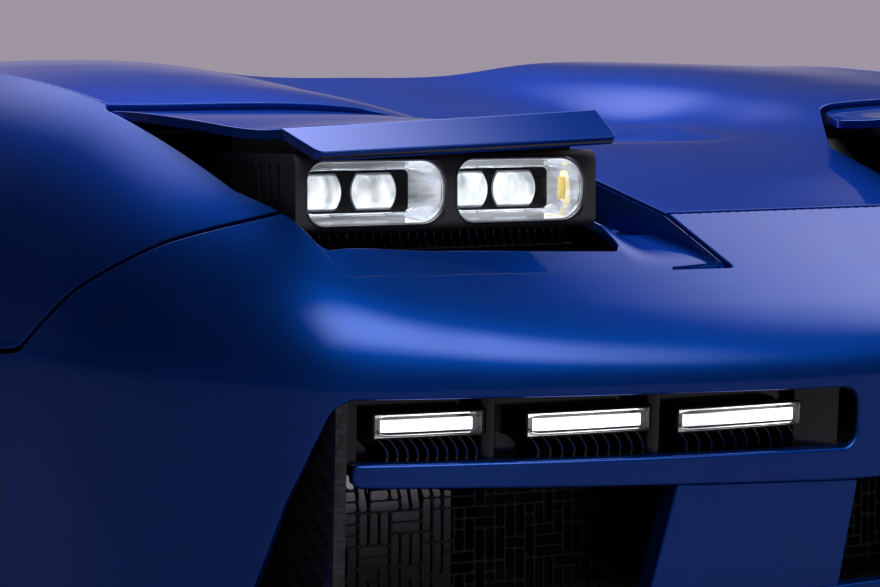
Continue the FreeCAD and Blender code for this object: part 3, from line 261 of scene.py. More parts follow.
def skirt_places(runs, distances):
    """Places on the painted face of the skirt: one row for each run, at distances down from its top
    edge. With distances None, each row is spaced evenly down to the lower edge."""
    top, corner, sill = (LINES[name](runs) for name in ("top", "corner", "sill"))
    start = corner + (top - corner) * LINES["up"](runs)[:, None]
    end = corner + (sill - corner) * LINES["down"](runs)[:, None]
    rows = []
    s = np.linspace(0.0, 1.0, 161)[:, None]
    for a, b, c, d, e in zip(top, start, corner, end, sill):
        path = np.concatenate([[a], b * (1 - s) ** 2 + c * 2 * s * (1 - s) + d * s * s, [e]])
        lengths = np.concatenate([[0.0], np.cumsum(np.linalg.norm(np.diff(path, axis=0), axis=1))])
        spots = np.linspace(0.0, lengths[-1], SKIRT_DOWN) if distances is None else distances
        rows.append(np.stack([np.interp(spots, lengths, path[:, axis]) for axis in range(3)], axis=1))
    return np.array(rows)


def crossing(backs):
    """The runs at which the top edge of the skirt passes distances back, on the left side."""
    runs = np.linspace(CORNER_RUN, RUNS[-1], 4000)
    return np.interp(backs, LINES["top"](runs)[:, 1], runs)


def eased(grid, passes):
    """The grid with its small waves taken out, and its edges left where they are."""
    for _ in range(passes):
        inner = grid[1:-1, 1:-1]
        around = (grid[:-2, 1:-1] + grid[2:, 1:-1] + grid[1:-1, :-2] + grid[1:-1, 2:]) / 4
        grid = grid.copy()
        grid[1:-1, 1:-1] = inner * 0.5 + around * 0.5
    return grid


DECK_BACKS = [row["back"] for row in DECK]
DECK_LINES = {name: [smooth(DECK_BACKS, [row[name][i] for row in DECK]) for i in (0, 1)]
              for name in ("ramp", "shoulder")}
DECK_CENTRE = smooth(DECK_BACKS, [row["centre"] for row in DECK])


def deck_across(back, edge):
    """The height of the deck across the car at one distance back, up to the crest at edge."""
    half = [(line[0](back), line[1](back)) for line in DECK_LINES.values()]
    half.append((edge[0], edge[2]))
    across = [(-x, z) for x, z in reversed(half)] + [(0.0, DECK_CENTRE(back))] + half
    return smooth([x for x, _ in across], [z for _, z in across])


def deck_places(back_count, share_count):
    """Places on the painted face of the deck, in rows from the fold to the windscreen."""
    corner = LINES["top"](CORNER_RUN)
    half = CORNER_RUN - RUNS[MIDDLE]
    shares = np.linspace(-1.0, 1.0, share_count)
    fronts = LINES["top"](RUNS[MIDDLE] + half * np.abs(shares))
    rows = [LINES["top"](RUNS[MIDDLE] + half * shares)]
    span = np.linspace(0.0, 1.0, back_count)[1:] ** 1.1
    for back in corner[1] + (SKIN_REAR - corner[1]) * span:
        edge = LINES["top"](crossing(back))
        fade = max(0.0, 1 - (back - corner[1]) / FOLD_FADE)
        outs = np.sign(shares) * fronts[:, 0] * edge[0] / corner[0]
        deep = back + (fronts[:, 1] - corner[1]) * fade
        heights = []
        for out, place in zip(outs, np.maximum(deep, DECK_BACKS[0])):
            heights.append(deck_across(place, edge)(out))
        rows.append(np.stack([outs, deep, np.array(heights)], axis=1))
    return eased(np.array(rows), DECK_PASSES)


def outward(grid, facing):
    """Unit normals of a grid of places, on the side that facing gives."""
    normals = unit(np.cross(np.gradient(grid, axis=0), np.gradient(grid, axis=1)))
    wrong = np.sum(normals * facing(grid), axis=-1) < 0
    normals[wrong] *= -1
    return normals


def upwards(places):
    return np.broadcast_to((0.0, 0.0, 1.0), places.shape)


def skirt_surface():
    runs = np.linspace(RUNS[0], RUNS[-1], int(RUNS[-1] / SKIRT_STEP))
    grid = skirt_places(runs, None)
    return grid, outward(grid, lambda p: p - INSIDE_PLACE)


def lamp_surface():
    """The faces over the left lamp: the skirt below the fold and the deck behind it."""
    columns = 180
    runs = np.linspace(RUNS[MIDDLE], CORNER_RUN, columns + 1)
    band = skirt_places(runs, np.arange(FOLD_BAND, 0.0, -FOLD_STEP)).transpose(1, 0, 2)
    top = deck_places(260, 2 * columns + 1)[:, columns:]
    top = top[top[:, -1, 1] < LAMP_GRID_REAR]
    grid = np.concatenate([band, top])
    side = grid[:, -1] + unit(grid[:, -1] - grid[:, -2]) * BEYOND_CREST
    grid = np.concatenate([grid, side[:, None]], axis=1)
    return grid, outward(grid, upwards)


def lid_surface():
    """The closed left lid: a face that leans down to the lip in front of the fold, and behind it a
    top that settles into the deck."""
    outs = np.linspace(LID_REACH[0], LID_REACH[1], 150)

    def deck_row(back):
        edge = LINES["top"](crossing(back))
        return deck_across(back, edge)(np.minimum(outs, edge[0]))

    def line(ends):
        (x0, y0), (x1, y1) = ends
        return y0 + (outs - x0) * (y1 - y0) / (x1 - x0)

    fold, lip = line(LID_FOLD), line(LID_LIP)
    rows = []
    for share in np.linspace(1.7, 0.0, 34) ** 1.1:
        height = LID_FOLD_HEIGHT + (LID_LIP_HEIGHT - LID_FOLD_HEIGHT) * share
        rows.append(np.stack([outs, fold * (1 - share) + lip * share, np.full_like(outs, height)], axis=1))
    rear = deck_row(LID_SETTLE)
    slope = (deck_row(LID_SETTLE + 5) - deck_row(LID_SETTLE - 5)) / 10
    long = LID_SETTLE - fold
    for s in (np.linspace(0.0, 1.0, 70)[1:]) ** 1.3:
        start = LID_FOLD_HEIGHT * (1 + 2 * s) * (1 - s) ** 2 + LID_SLOPE * long * s * (1 - s) ** 2
        end = rear * s * s * (3 - 2 * s) + slope * long * s * s * (s - 1)
        rows.append(np.stack([outs, fold + long * s, start + end], axis=1))
    for back in np.arange(LID_SETTLE + 5, 690, 5.0):
        rows.append(np.stack([outs, np.full_like(outs, back), deck_row(back)], axis=1))
    grid = np.array(rows)
    return grid, outward(grid, upwards)


def ramp(values, ends):
    """A smooth step from 0 at the first end to 1 at the second."""
    share = np.clip((values - ends[0]) / (ends[1] - ends[0]), 0.0, 1.0)
    return share * share * (3 - 2 * share)


def sill_surface(grid, normals):
    """The painted sill round the lamp: level in front of it, and a deeper scoop beside it."""
    scoop = SCOOP_DEEP * ramp(grid[..., 0], SCOOP_OUT) * ramp(grid[..., 1], SCOOP_BACK)
    depth = LEDGE_TOP + np.maximum(scoop, LEDGE_DROP * ramp(grid[..., 1], LEDGE_BACK))
    sunk = grid - normals * depth[..., None]
    return sunk, outward(sunk, upwards)


def corner_line(points, closed=True, step=7.0):
    """Close points along an outline given as corners (a, b, radius)."""
    count = len(points)
    line = []
    for i, (a, b, radius) in enumerate(points):
        corner = np.array([a, b], float)
        ends = (not closed) and i in (0, count - 1)
        before = np.array(points[i - 1][:2], float) - corner
        after = np.array(points[(i + 1) % count][:2], float) - corner
        first, second = before / np.linalg.norm(before), after / np.linalg.norm(after)
        half = math.acos(max(-1.0, min(1.0, float(first @ second)))) / 2
        if ends or radius <= 0 or half > math.radians(89.5):
            line.append(corner)
            continue
        room = 0.45 * min(np.linalg.norm(before), np.linalg.norm(after))
        cut = min(radius / math.tan(half), room)
        radius = cut * math.tan(half)
        middle = corner + (first + second) / np.linalg.norm(first + second) * (radius / math.sin(half))
        start, end = corner + first * cut - middle, corner + second * cut - middle
        turn = math.atan2(start[0] * end[1] - start[1] * end[0], start @ end)
        bits = max(2, int(abs(turn) * radius / step) + 1, int(abs(turn) / 0.2))
        for k in range(bits + 1):
            angle = turn * k / bits
            c, s = math.cos(angle), math.sin(angle)
            line.append(middle + (start[0] * c - start[1] * s, start[0] * s + start[1] * c))
    return np.array(line)


def evenly(line, count):
    """The closed line again as count places at even steps from its start."""
    closed = np.concatenate([line, line[:1]])
    lengths = np.concatenate([[0.0], np.cumsum(np.linalg.norm(np.diff(closed, axis=0), axis=1))])
    spots = np.linspace(0.0, lengths[-1], count, endpoint=False)
    return np.stack([np.interp(spots, lengths, closed[:, k]) for k in range(2)], axis=1)


def grown(points, amount):
    """The outline moved outwards by amount, or inwards if it is negative."""
    count = len(points)
    area = sum(points[i - 1][0] * points[i][1] - points[i][0] * points[i - 1][1] for i in range(count))
    side = 1 if area > 0 else -1
    moved = []
    for i, (a, b, radius) in enumerate(points):
        before, after = points[i - 1], points[(i + 1) % count]
        first = Vector((a - before[0], b - before[1])).normalized()
        second = Vector((after[0] - a, after[1] - b)).normalized()
        n1 = Vector((first.y, -first.x)) * side
        n2 = Vector((second.y, -second.x)) * side
        shift = (n1 + n2) * (amount / (1 + n1.dot(n2)))
        moved.append((a + shift.x, b + shift.y, max(radius + amount, 0) if radius else 0))
    return moved


def inside_of(outline, axes, mirror=False):
    """A field: the distance in from an outline seen along one axis, negative outside it."""
    line = corner_line(outline)
    if mirror:
        line = line * (-1, 1)
    starts, ends = line, np.roll(line, -1, axis=0)

    def field(places):
        p = places[:, axes]
        result = np.full(len(p), np.inf)
        odd = np.zeros(len(p), bool)
        for a, b in zip(starts, ends):
            along = b - a
            share = np.clip(((p - a) @ along) / max(along @ along, 1e-9), 0, 1)
            result = np.minimum(result, np.linalg.norm(p - a - share[:, None] * along, axis=1))
            if a[1] != b[1]:
                spans = (a[1] > p[:, 1]) != (b[1] > p[:, 1])
                cross = a[0] + (p[:, 1] - a[1]) * (b[0] - a[0]) / (b[1] - a[1])
                odd ^= spans & (p[:, 0] < cross)
        return np.where(odd, result, -result)

    return field


def outside_of(outline, axes, mirror=False):
    """The opposite field: positive outside the outline."""
    field = inside_of(outline, axes, mirror)
    return lambda places: -field(places)


PLAN, FRONT, SIDE = (0, 1), (0, 2), (1, 2)


class Sheet:
    """Part of a painted face: places, normals and triangles, trimmed field by field."""

    def __init__(self, grid, normals):
        rows, columns = grid.shape[:2]
        self.data = np.concatenate([grid.reshape(-1, 3), normals.reshape(-1, 3)], axis=1)
        corner = (np.arange(rows - 1)[:, None] * columns + np.arange(columns - 1)).reshape(-1)
        first = np.stack([corner, corner + columns, corner + columns + 1], axis=1)
        second = np.stack([corner, corner + columns + 1, corner + 1], axis=1)
        triangles = np.concatenate([first, second])
        p = self.data[triangles[:, 0]]
        one, other = (self.data[triangles[:, k]] - p for k in (1, 2))
        across = np.cross(one[:, :3], other[:, :3])
        wrong = np.sum(across * p[:, 3:], axis=1) < 0
        triangles[wrong] = triangles[wrong][:, ::-1]
        self.triangles = triangles
        self.edges = []

    def trim(self, field, roll=EDGE_ROLL, deep=FLANGE_DEEP):
        """Keeps the part where field is over roll, and notes the edge to turn in there by deep."""
        value = field(self.data[:, :3]) - roll
        value[np.abs(value) < 0.02] = 0.02
        keep = value[self.triangles] > 0
        whole = keep.all(axis=1)
        crossing_ones = self.triangles[keep.any(axis=1) & ~whole]
        data, extra, made, new = self.data, [], {}, []

        def cut(a, b):
            key = (min(a, b), max(a, b))
            if key not in made:
                share = value[a] / (value[a] - value[b])
                spot = data[a] + (data[b] - data[a]) * share
                made[key] = len(data) + len(extra)
                extra.append(spot)
            return made[key]

        for corners in crossing_ones.tolist():
            loop = []
            for a, b in zip(corners, corners[1:] + corners[:1]):
                if value[a] > 0:
                    loop.append(a)
                if (value[a] > 0) != (value[b] > 0):
                    loop.append(cut(a, b))
            new += [(loop[0], loop[k], loop[k + 1]) for k in range(1, len(loop) - 1)]
        if extra:
            self.data = np.concatenate([data, np.array(extra)])
        self.triangles = np.concatenate([self.triangles[whole], np.array(new, int).reshape(-1, 3)])
        self.edges.append((field, roll, deep))
        return self

    def tidied(self):
        """Drops unused places and joins those that lie within a hair of each other."""
        used = np.unique(self.triangles)
        places = {}
        target = np.arange(len(self.data))
        for i in used.tolist():
            key = tuple(np.round(self.data[i, :3] / 0.12).astype(int))
            target[i] = places.setdefault(key, i)
        triangles = target[self.triangles]
        good = ((triangles[:, 0] != triangles[:, 1]) & (triangles[:, 1] != triangles[:, 2])
                & (triangles[:, 2] != triangles[:, 0]))
        triangles = triangles[good]
        used = np.unique(triangles)
        fresh = np.zeros(len(self.data), int)
        fresh[used] = np.arange(len(used))
        self.data, self.triangles = self.data[used], fresh[triangles]
        self.data[:, 3:] = unit(self.data[:, 3:])
        return self

    def panel(self, thick=SKIN):
        """The trimmed sheet as a closed panel with rolled edges: places, normals and faces."""
        self.tidied()
        data, triangles = self.data, self.triangles
        pairs = np.concatenate([triangles[:, [0, 1]], triangles[:, [1, 2]], triangles[:, [2, 0]]])
        known = set(map(tuple, pairs.tolist()))
        border = [(a, b) for a, b in pairs.tolist() if (b, a) not in known]
        outwards = np.zeros((len(data), 3))
        for a, b in border:
            along = data[b, :3] - data[a, :3]
            normal = data[a, 3:] + data[b, 3:]
            side = np.cross(along, normal)
            outwards[a] += side
            outwards[b] += side
        rim = np.array(sorted({a for a, _ in border} | {b for _, b in border}))
        out = outwards[rim]
        normal = data[rim, 3:]
        out = unit(out - np.sum(out * normal, axis=1)[:, None] * normal)
        gaps = np.array([np.abs(field(data[rim, :3]) - roll) for field, roll, _ in self.edges])
        nearest = np.argmin(gaps, axis=0)
        roll = np.array([self.edges[k][1] for k in nearest])[:, None]
        deep = np.array([self.edges[k][2] for k in nearest])[:, None]
        base = data[rim, :3]
        rings = []
        for angle in (22.5, 45.0, 67.5, 90.0):
            c, s = math.cos(math.radians(angle)), math.sin(math.radians(angle))
            rings.append((base + out * roll * s - normal * roll * (1 - c), normal * c + out * s))
        wall = np.maximum(roll, 1.5)
        rings.append((base + out * roll - normal * deep, out))
        rings.append((base + out * (roll - wall) - normal * deep, -normal))
        inner = data[:, :3] - data[:, 3:] * thick
        places, normals = [data[:, :3]], [data[:, 3:]]
        for ring, ring_normal in rings:
            places.append(ring)
            normals.append(unit(ring_normal))
        places.append(inner)
        normals.append(-data[:, 3:])
        count, rim_count = len(data), len(rim)
        number = np.full(count, -1)
        number[rim] = np.arange(rim_count)
        faces = triangles.tolist()
        last = count + rim_count * len(rings)
        for a, b in border:
            i, j = number[a], number[b]
            starts = [count + rim_count * k for k in range(len(rings))]
            levels = [(a, b)] + [(start + i, start + j) for start in starts]
            levels.append((last + a, last + b))
            for (a0, b0), (a1, b1) in zip(levels, levels[1:]):
                faces.append([b0, a0, a1, b1])
        faces += (triangles[:, ::-1] + last).tolist()
        return np.concatenate(places), np.concatenate(normals), faces


def mesh_piece(name, places, faces, material, body="body", normals=None, mirror=False, smooth_by=None):
    """A piece from places in car coordinates, on a body of the part, with its material."""
    places = np.asarray(places, float)
    faces = [list(f) for f in faces]
    if mirror:
        places = places * (-1, 1, 1)
        faces = [f[::-1] for f in faces]
        normals = None if normals is None else normals * (-1, 1, 1)
    mesh = bpy.data.meshes.new(name)
    mesh.from_pydata(to_part(places).tolist(), [], faces)
    mesh.materials.append(material)
    if normals is None:
        shell = bmesh.new()
        shell.from_mesh(mesh)
        bmesh.ops.recalc_face_normals(shell, faces=shell.faces)
        shell.to_mesh(mesh)
        shell.free()
    if normals is not None or smooth_by is not None:
        mesh.polygons.foreach_set("use_smooth", [True] * len(mesh.polygons))
    if normals is not None:
        mesh.normals_split_custom_set_from_vertices(normals.tolist())
    elif smooth_by is not None:
        mesh.set_sharp_from_angle(angle=math.radians(smooth_by))
    piece = bpy.data.objects.new(name, mesh)
    bpy.context.scene.collection.objects.link(piece)
    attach(piece, body)
    return piece


def lofted(loops, closed=True):
    """Faces between loops of places with the same count, with caps over the two ends if closed."""
    loops = [np.asarray(loop, float) for loop in loops]
    count = len(loops[0])
    places = np.concatenate(loops)
    faces = []
    for k in range(len(loops) - 1):
        for i in range(count):
            j = (i + 1) % count
            faces.append([k * count + i, k * count + j, (k + 1) * count + j, (k + 1) * count + i])
    if closed:
        faces.append(list(range(count))[::-1])
        faces.append([(len(loops) - 1) * count + i for i in range(count)])
    return places, faces


def joined(parts):
    """Several (places, faces) pieces as one."""
    places, faces, start = [], [], 0
    for some, some_faces in parts:
        places.append(np.asarray(some, float))
        faces += [[i + start for i in face] for face in some_faces]
        start += len(some)
    return np.concatenate(places), faces


def both_sides(body, *rows):
    """Pieces on the left and their mirror images on the right. Each row has a name, a mesh of places
    and faces and a material, and may have normals, an angle to smooth by, and the CAD node
    that the piece stands for."""
    for suffix, mirror in (("l", False), ("r", True)):
        rides = body if body == "body" else body + "_" + suffix
        for row in rows:
            places, faces = row["mesh"]
            piece = mesh_piece(row["name"] + "_" + suffix, places, faces, row["material"], rides,
                               row.get("normals"), mirror, row.get("smooth_by"))
            if "node" in row:
                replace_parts(piece, row["node"] + "_" + suffix)


def raised(places):
    """Places of a closed lamp turned up about the lift hinge into the open position."""
    angle = -math.radians(LIFT_ANGLE)
    c, s = math.cos(angle), math.sin(angle)
    p = np.asarray(places, float) - (0.0, LIFT_BACK, LIFT_HEIGHT)
    turned = np.stack([p[:, 0], p[:, 1] * c - p[:, 2] * s, p[:, 1] * s + p[:, 2] * c], axis=1)
    return turned + (0.0, LIFT_BACK, LIFT_HEIGHT)


def turned_up(vectors):
    """Normals turned in the same way."""
    return raised(vectors + (0.0, LIFT_BACK, LIFT_HEIGHT)) - (0.0, LIFT_BACK, LIFT_HEIGHT)
def new_group(name, inputs, outputs):
    """A shader node group with named inputs (name, kind, value) and outputs (name, kind)."""
    group = bpy.data.node_groups.new(name, "ShaderNodeTree")
    for label, kind, value in inputs:
        socket = group.interface.new_socket(label, in_out="INPUT", socket_type="NodeSocket" + kind)
        socket.default_value = value
    for label, kind in outputs:
        group.interface.new_socket(label, in_out="OUTPUT", socket_type="NodeSocket" + kind)
    return group, group.nodes.new("NodeGroupInput"), group.nodes.new("NodeGroupOutput")


def node(tree, kind, **settings):
    """A node of a tree; settings with underscores for spaces go to its inputs, others to itself."""
    made = tree.nodes.new("ShaderNode" + kind)
    for key, value in settings.items():
        label = key.replace("_", " ")
        if label in made.inputs:
            made.inputs[label].default_value = value
        else:
            setattr(made, key, value)
    return made


def wire(tree, *links):
    """Links of a tree, each as (from node, output, to node, input)."""
    for start, output, end, socket in links:
        tree.links.new(start.outputs[output], end.inputs[socket])


def grain_group():
    """Fine grain of moulded or coated surfaces: a height, a roughness and a slight shade."""
    group, given, out = new_group("moulded_grain", [
        ("Grain Scale", "Float", 900.0), ("Roughness", "Float", 0.5), ("Spread", "Float", 0.1),
        ("Colour", "Color", (0.02, 0.02, 0.02, 1.0)), ("Shade", "Color", (0.03, 0.03, 0.03, 1.0)),
    ], [("Colour", "Color"), ("Roughness", "Float"), ("Height", "Float")])
    place = node(group, "TexCoord")
    fine = node(group, "TexNoise", Detail=4.0, Roughness=0.6)
    wire(group, (place, "Object", fine, "Vector"), (given, "Grain Scale", fine, "Scale"))
    broad = node(group, "TexNoise", Scale=7.0, Detail=3.0)
    wire(group, (place, "Object", broad, "Vector"))
    spread = node(group, "Math", operation="MULTIPLY_ADD")
    centred = node(group, "Math", operation="SUBTRACT")
    centred.inputs[1].default_value = 0.5
    wire(group, (broad, "Fac", centred, 0), (centred, 0, spread, 0), (given, "Spread", spread, 1),
         (given, "Roughness", spread, 2))
    shade = node(group, "Mix", data_type="RGBA")
    wire(group, (broad, "Fac", shade, "Factor"), (given, "Colour", shade, "A"),
         (given, "Shade", shade, "B"), (shade, "Result", out, "Colour"), (spread, 0, out, "Roughness"),
         (fine, "Fac", out, "Height"))
    return group


def weave_group():
    """Twill of carbon tows: a colour that turns with each tow, and the height of the crossings."""
    group, given, out = new_group("carbon_twill", [
        ("Tow Scale", "Float", 130.0), ("Dark", "Color", (0.006, 0.006, 0.007, 1.0)),
        ("Light", "Color", (0.05, 0.05, 0.055, 1.0)),
    ], [("Colour", "Color"), ("Height", "Float")])
    place = node(group, "TexCoord")
    split = node(group, "SeparateXYZ")
    wire(group, (place, "Object", split, 0))
    level = node(group, "Math", operation="ADD")
    wire(group, (split, "X", level, 0), (split, "Y", level, 1))
    join = node(group, "CombineXYZ")
    wire(group, (level, 0, join, "X"), (split, "Z", join, "Y"))
    sizes = node(group, "VectorMath", operation="SCALE")
    wire(group, (join, 0, sizes, 0), (given, "Tow Scale", sizes, "Scale"))
    cells = node(group, "VectorMath", operation="FLOOR")
    wire(group, (sizes, 0, cells, 0))
    cell = node(group, "SeparateXYZ")
    wire(group, (cells, 0, cell, 0))
    total = node(group, "Math", operation="SUBTRACT")
    wire(group, (cell, "X", total, 0), (cell, "Y", total, 1))
    turn = node(group, "Math", operation="FLOORED_MODULO")
    turn.inputs[1].default_value = 4.0
    wire(group, (total, 0, turn, 0))
    over = node(group, "Math", operation="LESS_THAN")
    over.inputs[1].default_value = 2.0
    wire(group, (turn, 0, over, 0))
    rest = node(group, "VectorMath", operation="FRACTION")
    wire(group, (sizes, 0, rest, 0))
    part = node(group, "SeparateXYZ")
    wire(group, (rest, 0, part, 0))
    along = node(group, "Mix", data_type="FLOAT")
    wire(group, (over, 0, along, "Factor"), (part, "X", along, "A"), (part, "Y", along, "B"))
    bow = node(group, "Math", operation="PINGPONG")
    bow.inputs[1].default_value = 0.5
    wire(group, (along, "Result", bow, 0))
    shade = node(group, "Mix", data_type="RGBA")
    strong = node(group, "Math", operation="MULTIPLY")
    strong.inputs[1].default_value = 1.3
    wire(group, (bow, 0, strong, 0))
    toned = node(group, "Math", operation="MULTIPLY_ADD")
    toned.inputs[1].default_value = 0.35
    wire(group, (over, 0, toned, 0), (strong, 0, toned, 2), (toned, 0, shade, "Factor"),
         (given, "Dark", shade, "A"), (given, "Light", shade, "B"), (shade, "Result", out, "Colour"),
         (bow, 0, out, "Height"))
    return group


def shaded(name, **values):
    """A material with its values straight on the shader's own sockets."""
    material = bpy.data.materials.new(name)
    material.use_nodes = True
    shader = material.node_tree.nodes["Principled BSDF"]
    for key, value in values.items():
        shader.inputs[key.replace("_", " ")].default_value = value
    return material, material.node_tree, shader


def placed(tree, group, **values):
    """A node group in a material, with its own values."""
    made = tree.nodes.new("ShaderNodeGroup")
    made.node_tree = group
    for key, value in values.items():
        made.inputs[key.replace("_", " ")].default_value = value
    return made


def bumped(tree, shader, height, strength, distance):
    """Bump from a height, with its depth in metres."""
    bump = node(tree, "Bump", Strength=strength, Distance=distance)
    tree.links.new(height, bump.inputs["Height"])
    wire(tree, (bump, "Normal", shader, "Normal"))


GRAIN = grain_group()
TWILL = weave_group()


def grained(name, colour, shade, scale, roughness, spread, strength, **values):
    """A moulded or coated finish with grain."""
    material, tree, shader = shaded(name, **values)
    grain = placed(tree, GRAIN, Grain_Scale=scale, Roughness=roughness, Spread=spread,
                   Colour=(*colour, 1.0), Shade=(*shade, 1.0))
    wire(tree, (grain, "Colour", shader, "Base Color"), (grain, "Roughness", shader, "Roughness"))
    bumped(tree, shader, grain.outputs["Height"], strength, 0.0004)
    return material


def deep_blue_paint():
    """Metallic blue under lacquer: flakes that catch the light, and a slight cloud in the colour."""
    material, tree, shader = shaded("deep_blue_paint", Metallic=0.92, Roughness=0.45, Coat_Weight=0.7,
                                    Specular_Tint=(0.22, 0.38, 0.72, 1.0),
                                    Coat_Roughness=0.04, Coat_IOR=1.5)
    place = node(tree, "TexCoord")
    flakes = node(tree, "TexVoronoi", Scale=2600.0)
    cloud = node(tree, "TexNoise", Scale=5.0, Detail=2.0)
    for texture in (flakes, cloud):
        wire(tree, (place, "Object", texture, "Vector"))
    sparkle = node(tree, "Mix", data_type="RGBA")
    sparkle.inputs["A"].default_value = (0.0008, 0.050, 0.36, 1.0)
    sparkle.inputs["B"].default_value = (0.0020, 0.110, 0.62, 1.0)
    shine = node(tree, "SeparateColor")
    wire(tree, (flakes, "Color", shine, 0))
    blend = node(tree, "Math", operation="MULTIPLY_ADD")
    blend.inputs[1].default_value = 0.45
    lift = node(tree, "Math", operation="MULTIPLY")
    lift.inputs[1].default_value = 0.5
    wire(tree, (cloud, "Fac", lift, 0), (shine, 0, blend, 0), (lift, 0, blend, 2),
         (blend, 0, sparkle, "Factor"), (sparkle, "Result", shader, "Base Color"))
    bumped(tree, shader, shine.outputs[1], 0.035, 0.0003)
    return material


def lacquered_carbon():
    """Carbon twill under clear lacquer."""
    material, tree, shader = shaded("lacquered_carbon", Roughness=0.35, Coat_Weight=1.0,
                                    Coat_Roughness=0.05)
    twill = placed(tree, TWILL)
    wire(tree, (twill, "Colour", shader, "Base Color"))
    bumped(tree, shader, twill.outputs["Height"], 0.25, 0.0004)
    return material


def brushed_metal(name, colour, roughness, stretch):
    """Rolled or brushed metal with fine lines along it."""
    material, tree, shader = shaded(name, Metallic=1.0)
    place = node(tree, "TexCoord")
    stretched = node(tree, "Mapping", Scale=stretch)
    lines = node(tree, "TexNoise", Scale=60.0, Detail=5.0)
    wire(tree, (place, "Object", stretched, "Vector"), (stretched, 0, lines, "Vector"))
    tone = node(tree, "Mix", data_type="RGBA")
    tone.inputs["A"].default_value = (*[0.75 * c for c in colour], 1.0)
    tone.inputs["B"].default_value = (*colour, 1.0)
    rough = node(tree, "Math", operation="MULTIPLY_ADD")
    rough.inputs[1].default_value = 0.25
    rough.inputs[2].default_value = roughness - 0.12
    wire(tree, (lines, "Fac", tone, "Factor"), (lines, "Fac", rough, 0),
         (tone, "Result", shader, "Base Color"), (rough, 0, shader, "Roughness"))
    bumped(tree, shader, lines.outputs["Fac"], 0.15, 0.0003)
    return material


def lamp_and_painted_glow(name, colour, strength, stretch=(1.0, 1.0, 1.0), metallic=0.0, body=(0.5, 0.55, 0.6)):
    """Glowing surfaces: the lit glass of a lamp, and bright metal whose glow is painted light standing for
    the lamp's light reflected in it; soft cells where the light is spread.
    """
    material, tree, shader = shaded(name, Base_Color=(*body, 1.0), Metallic=metallic, Roughness=0.12,
                                    Coat_Weight=1.0, Coat_Roughness=0.02, Emission_Strength=strength)
    place = node(tree, "TexCoord")
    stretched = node(tree, "Mapping", Scale=stretch)
    spread = node(tree, "TexNoise", Scale=34.0, Detail=2.0)
    wire(tree, (place, "Object", stretched, "Vector"), (stretched, 0, spread, "Vector"))
    steep = node(tree, "MapRange")
    steep.inputs["From Min"].default_value = 0.32
    steep.inputs["From Max"].default_value = 0.66
    wire(tree, (spread, "Fac", steep, "Value"))
    glow = node(tree, "Mix", data_type="RGBA")
    glow.inputs["A"].default_value = (*[0.30 * c for c in colour], 1.0)
    glow.inputs["B"].default_value = (*colour, 1.0)
    wire(tree, (steep, "Result", glow, "Factor"), (glow, "Result", shader, "Emission Color"))
    return material


def clear_glass():
    """Clear cover: a very slight ripple in the moulding."""
    material, tree, shader = shaded("clear_cover", Base_Color=(1.0, 1.0, 1.0, 1.0), Roughness=0.0,
                                    Transmission_Weight=1.0, IOR=1.45)
    place = node(tree, "TexCoord")
    ripple = node(tree, "TexNoise", Scale=22.0, Detail=1.0)
    wire(tree, (place, "Object", ripple, "Vector"))
    bumped(tree, shader, ripple.outputs["Fac"], 0.02, 0.0005)
    return material


PAINT = deep_blue_paint()
CARBON = lacquered_carbon()
GLASS = clear_glass()
SATIN_GREY = grained("satin_grey_housing", (0.060, 0.060, 0.066), (0.078, 0.078, 0.084),
                     1500.0, 0.46, 0.12, 0.12)
BLACK_PLASTIC = grained("black_moulding", (0.012, 0.012, 0.013), (0.019, 0.019, 0.020),
                        1100.0, 0.5, 0.14, 0.2)
GLOSS_BLACK = grained("gloss_black_moulding", (0.006, 0.006, 0.007), (0.010, 0.010, 0.011),
                      500.0, 0.16, 0.06, 0.03, Coat_Weight=0.6, Coat_Roughness=0.04)
MASK_BLACK = grained("lamp_mask", (0.010, 0.011, 0.013), (0.016, 0.017, 0.020),
                     700.0, 0.22, 0.08, 0.04, Metallic=0.3)
COATED_BLACK = grained("powder_coat", (0.018, 0.018, 0.018), (0.026, 0.026, 0.026),
                       1400.0, 0.42, 0.1, 0.35, Metallic=0.2)
VANE_BLACK = grained("vane_gloss", (0.030, 0.030, 0.033), (0.045, 0.045, 0.050),
                     500.0, 0.14, 0.05, 0.03, Metallic=0.7, Coat_Weight=0.8, Coat_Roughness=0.03)
MESH_BLACK = grained("mesh_black", (0.007, 0.007, 0.008), (0.011, 0.011, 0.012), 900.0, 0.42, 0.08, 0.1)
RIM_GREY = grained("lamp_rim", (0.34, 0.35, 0.38), (0.42, 0.43, 0.46),
                   900.0, 0.24, 0.06, 0.04, Metallic=0.9)
ALUMINIUM = brushed_metal("extruded_aluminium", (0.62, 0.63, 0.65), 0.36, (1.0, 0.04, 1.0))
STEEL = brushed_metal("bright_steel", (0.50, 0.50, 0.52), 0.3, (0.1, 1.0, 1.0))
# The lamp chrome glows: its emission, streaked by stretched noise, is painted light standing for the lamps'
# light reflected in the chrome.
CHROME_PAINTED_GLOW = lamp_and_painted_glow("lamp_chrome_painted_glow", (0.78, 0.84, 0.92), 0.55, (0.25, 1.0, 2.4), 1.0, (0.82, 0.85, 0.9))
LENS_LIT = lamp_and_painted_glow("lit_lens", (0.90, 0.96, 1.0), 1.25, (1.6, 1.0, 0.8))
BAR_LIT = lamp_and_painted_glow("lit_bar", (0.97, 0.98, 1.0), 3.0, (0.2, 0.2, 0.2))
# The amber reflector glows: painted light standing for the lamp's light reflected in it.
AMBER_PAINTED_GLOW = lamp_and_painted_glow("amber_reflector_painted_glow", (1.0, 0.72, 0.08), 0.9)


